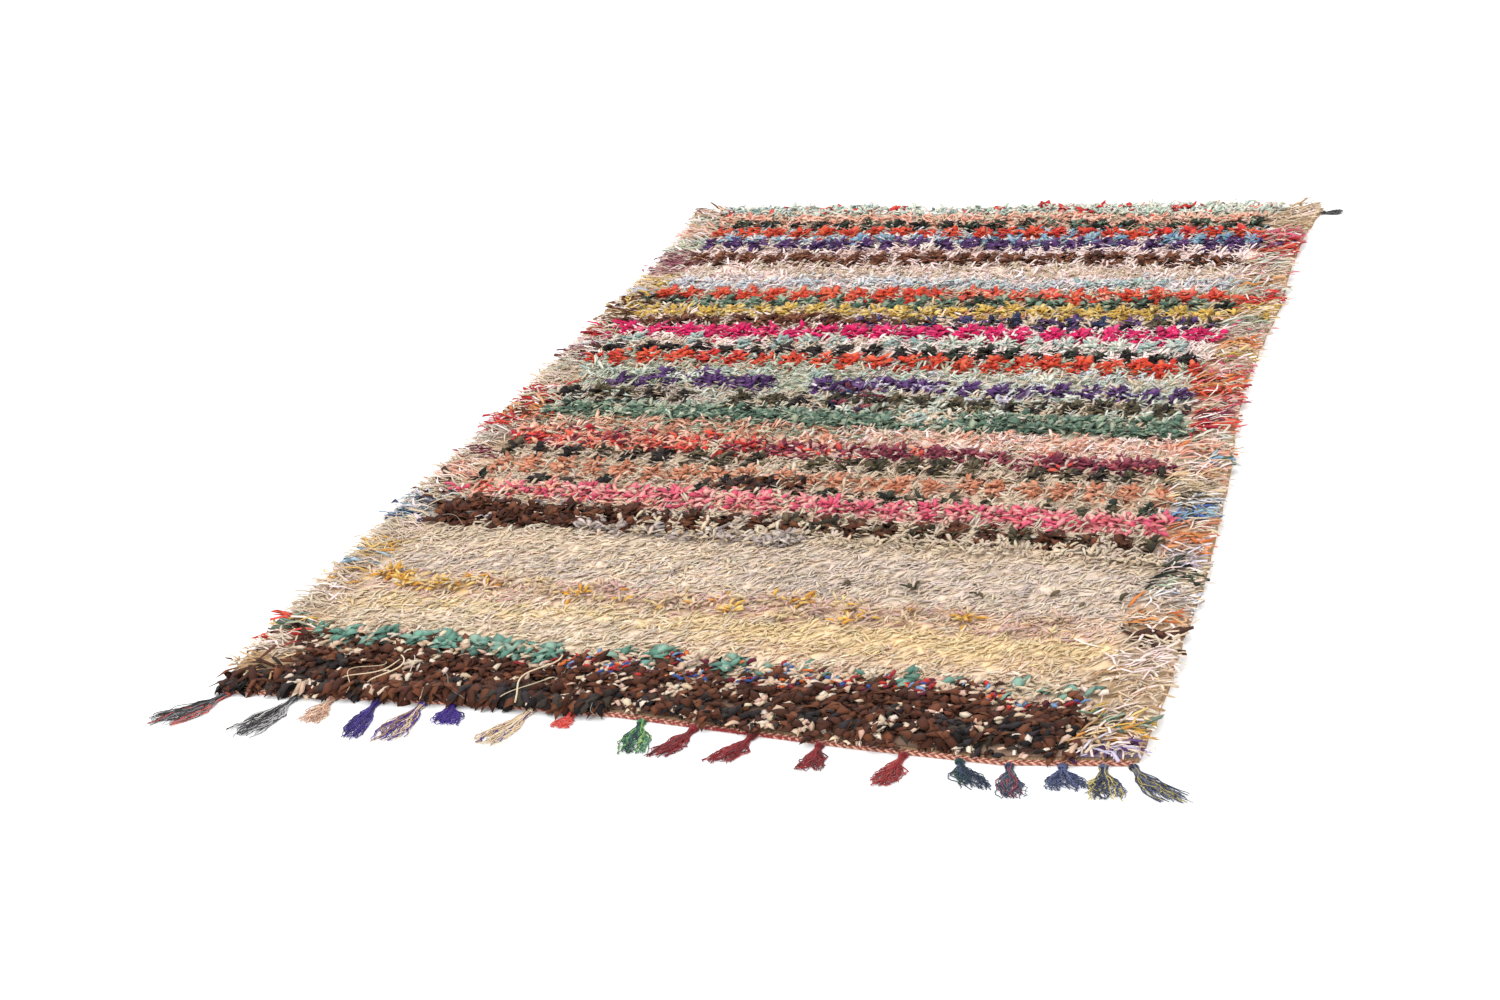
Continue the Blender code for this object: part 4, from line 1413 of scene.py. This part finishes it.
class RugColours(bpy.types.PropertyGroup):
    """Colours of the rug's yarns and cloth, and of the floor, that a user may change."""

    band_light: bpy.props.FloatVectorProperty(
        name="Band, light ply",
        description="Dye of the end band's light ply",
        subtype="COLOR",
        size=3,
        min=0.0,
        max=1.0,
        default=linear("D6A48E").tolist()
    )
    band_dark: bpy.props.FloatVectorProperty(
        name="Band, dark ply",
        description="Dye of the end band's dark ply",
        subtype="COLOR",
        size=3,
        min=0.0,
        max=1.0,
        default=linear("8E4A3A").tolist()
    )
    band_wrap: bpy.props.FloatVectorProperty(
        name="Band, wrapping",
        description="Dye of the yarn wrapped round the band's middle",
        subtype="COLOR",
        size=3,
        min=0.0,
        max=1.0,
        default=linear("8E2A2E").tolist()
    )
    ground_light: bpy.props.FloatVectorProperty(
        name="Ground, raised threads",
        description="Wool of the woven ground where a thread lies on top",
        subtype="COLOR",
        size=3,
        min=0.0,
        max=1.0,
        default=linear("D6BA96").tolist()
    )
    # Painted shade: the darker colour of the grooves between the woven ground's threads
    ground_painted_shade: bpy.props.FloatVectorProperty(
        name="Ground, between threads",
        description="Wool of the woven ground between its threads",
        subtype="COLOR",
        size=3,
        min=0.0,
        max=1.0,
        default=linear("9C7A5C").tolist()
    )
    floor: bpy.props.FloatVectorProperty(
        name="Floor",
        description="Paint of the studio floor",
        subtype="COLOR",
        size=3,
        min=0.0,
        max=1.0,
        default=linear("F4F4F4").tolist()
    )


class RugStudio(bpy.types.PropertyGroup):
    """The light on the rug."""

    surround: bpy.props.FloatProperty(
        name="Surround",
        description="Strength of the even white light all round",
        default=1.5,
        min=0.0
    )
    key: bpy.props.FloatProperty(
        name="Key light",
        description="Strength of the one broad soft light",
        default=0.85,
        min=0.0
    )


class RUG_OT_pile(bpy.types.Operator):
    """Builds the rag pile, the mat of knots under it and the woven ground that holds them"""

    bl_idname = "rug.pile"
    bl_label = "Pile and Ground"

    def execute(self, context):
        riders = [*build_pile(), build_bed()]
        build_ground()
        return {"FINISHED"}


class RUG_OT_band(bpy.types.Operator):
    """Builds the twined band along the near end"""

    bl_idname = "rug.band"
    bl_label = "End Band"

    def execute(self, context):
        build_band()
        return {"FINISHED"}


class RUG_OT_tassels(bpy.types.Operator):
    """Builds the tassels"""

    bl_idname = "rug.tassels"
    bl_label = "Tassels"

    def execute(self, context):
        build_tassels()
        return {"FINISHED"}


class RUG_OT_strays(bpy.types.Operator):
    """Builds the loose threads that lie on the pile"""

    bl_idname = "rug.strays"
    bl_label = "Stray Threads"

    def execute(self, context):
        build_strays()
        return {"FINISHED"}


class RUG_OT_stage(bpy.types.Operator):
    """Builds the floor, the light and the camera"""

    bl_idname = "rug.stage"
    bl_label = "Stage"

    def execute(self, context):
        context.scene.view_settings.view_transform = "Standard"
        build_floor()
        build_light()
        build_camera()
        return {"FINISHED"}


class RUG_PT_panel(bpy.types.Panel):
    """The rug's sizes, colours, light and pieces"""

    bl_label = "Boucherouite Rug"
    bl_idname = "RUG_PT_panel"
    bl_space_type = "VIEW_3D"
    bl_region_type = "UI"
    bl_category = "Rug"

    def draw(self, context):
        layout = self.layout
        scene = context.scene
        for group in (scene.rug_sizes, scene.rug_colours, scene.rug_studio):
            for name in group.__annotations__:
                layout.prop(group, name)
        for operator in OPERATORS:
            layout.operator(operator.bl_idname)


OPERATORS = (RUG_OT_pile, RUG_OT_band, RUG_OT_tassels, RUG_OT_strays, RUG_OT_stage)
GROUPS = (RugSizes, RugColours, RugStudio)


def register():
    for made in (*GROUPS, *OPERATORS, RUG_PT_panel):
        bpy.utils.register_class(made)
    bpy.types.Scene.rug_sizes = bpy.props.PointerProperty(type=RugSizes)
    bpy.types.Scene.rug_colours = bpy.props.PointerProperty(type=RugColours)
    bpy.types.Scene.rug_studio = bpy.props.PointerProperty(type=RugStudio)


def unregister():
    del bpy.types.Scene.rug_studio
    del bpy.types.Scene.rug_colours
    del bpy.types.Scene.rug_sizes
    for made in (RUG_PT_panel, *OPERATORS[::-1], *GROUPS[::-1]):
        bpy.utils.unregister_class(made)


def main():
    register()
    bpy.ops.rug.pile()
    bpy.ops.rug.band()
    bpy.ops.rug.tassels()
    bpy.ops.rug.strays()
    bpy.ops.rug.stage()


if __name__ == "__main__":
    main()
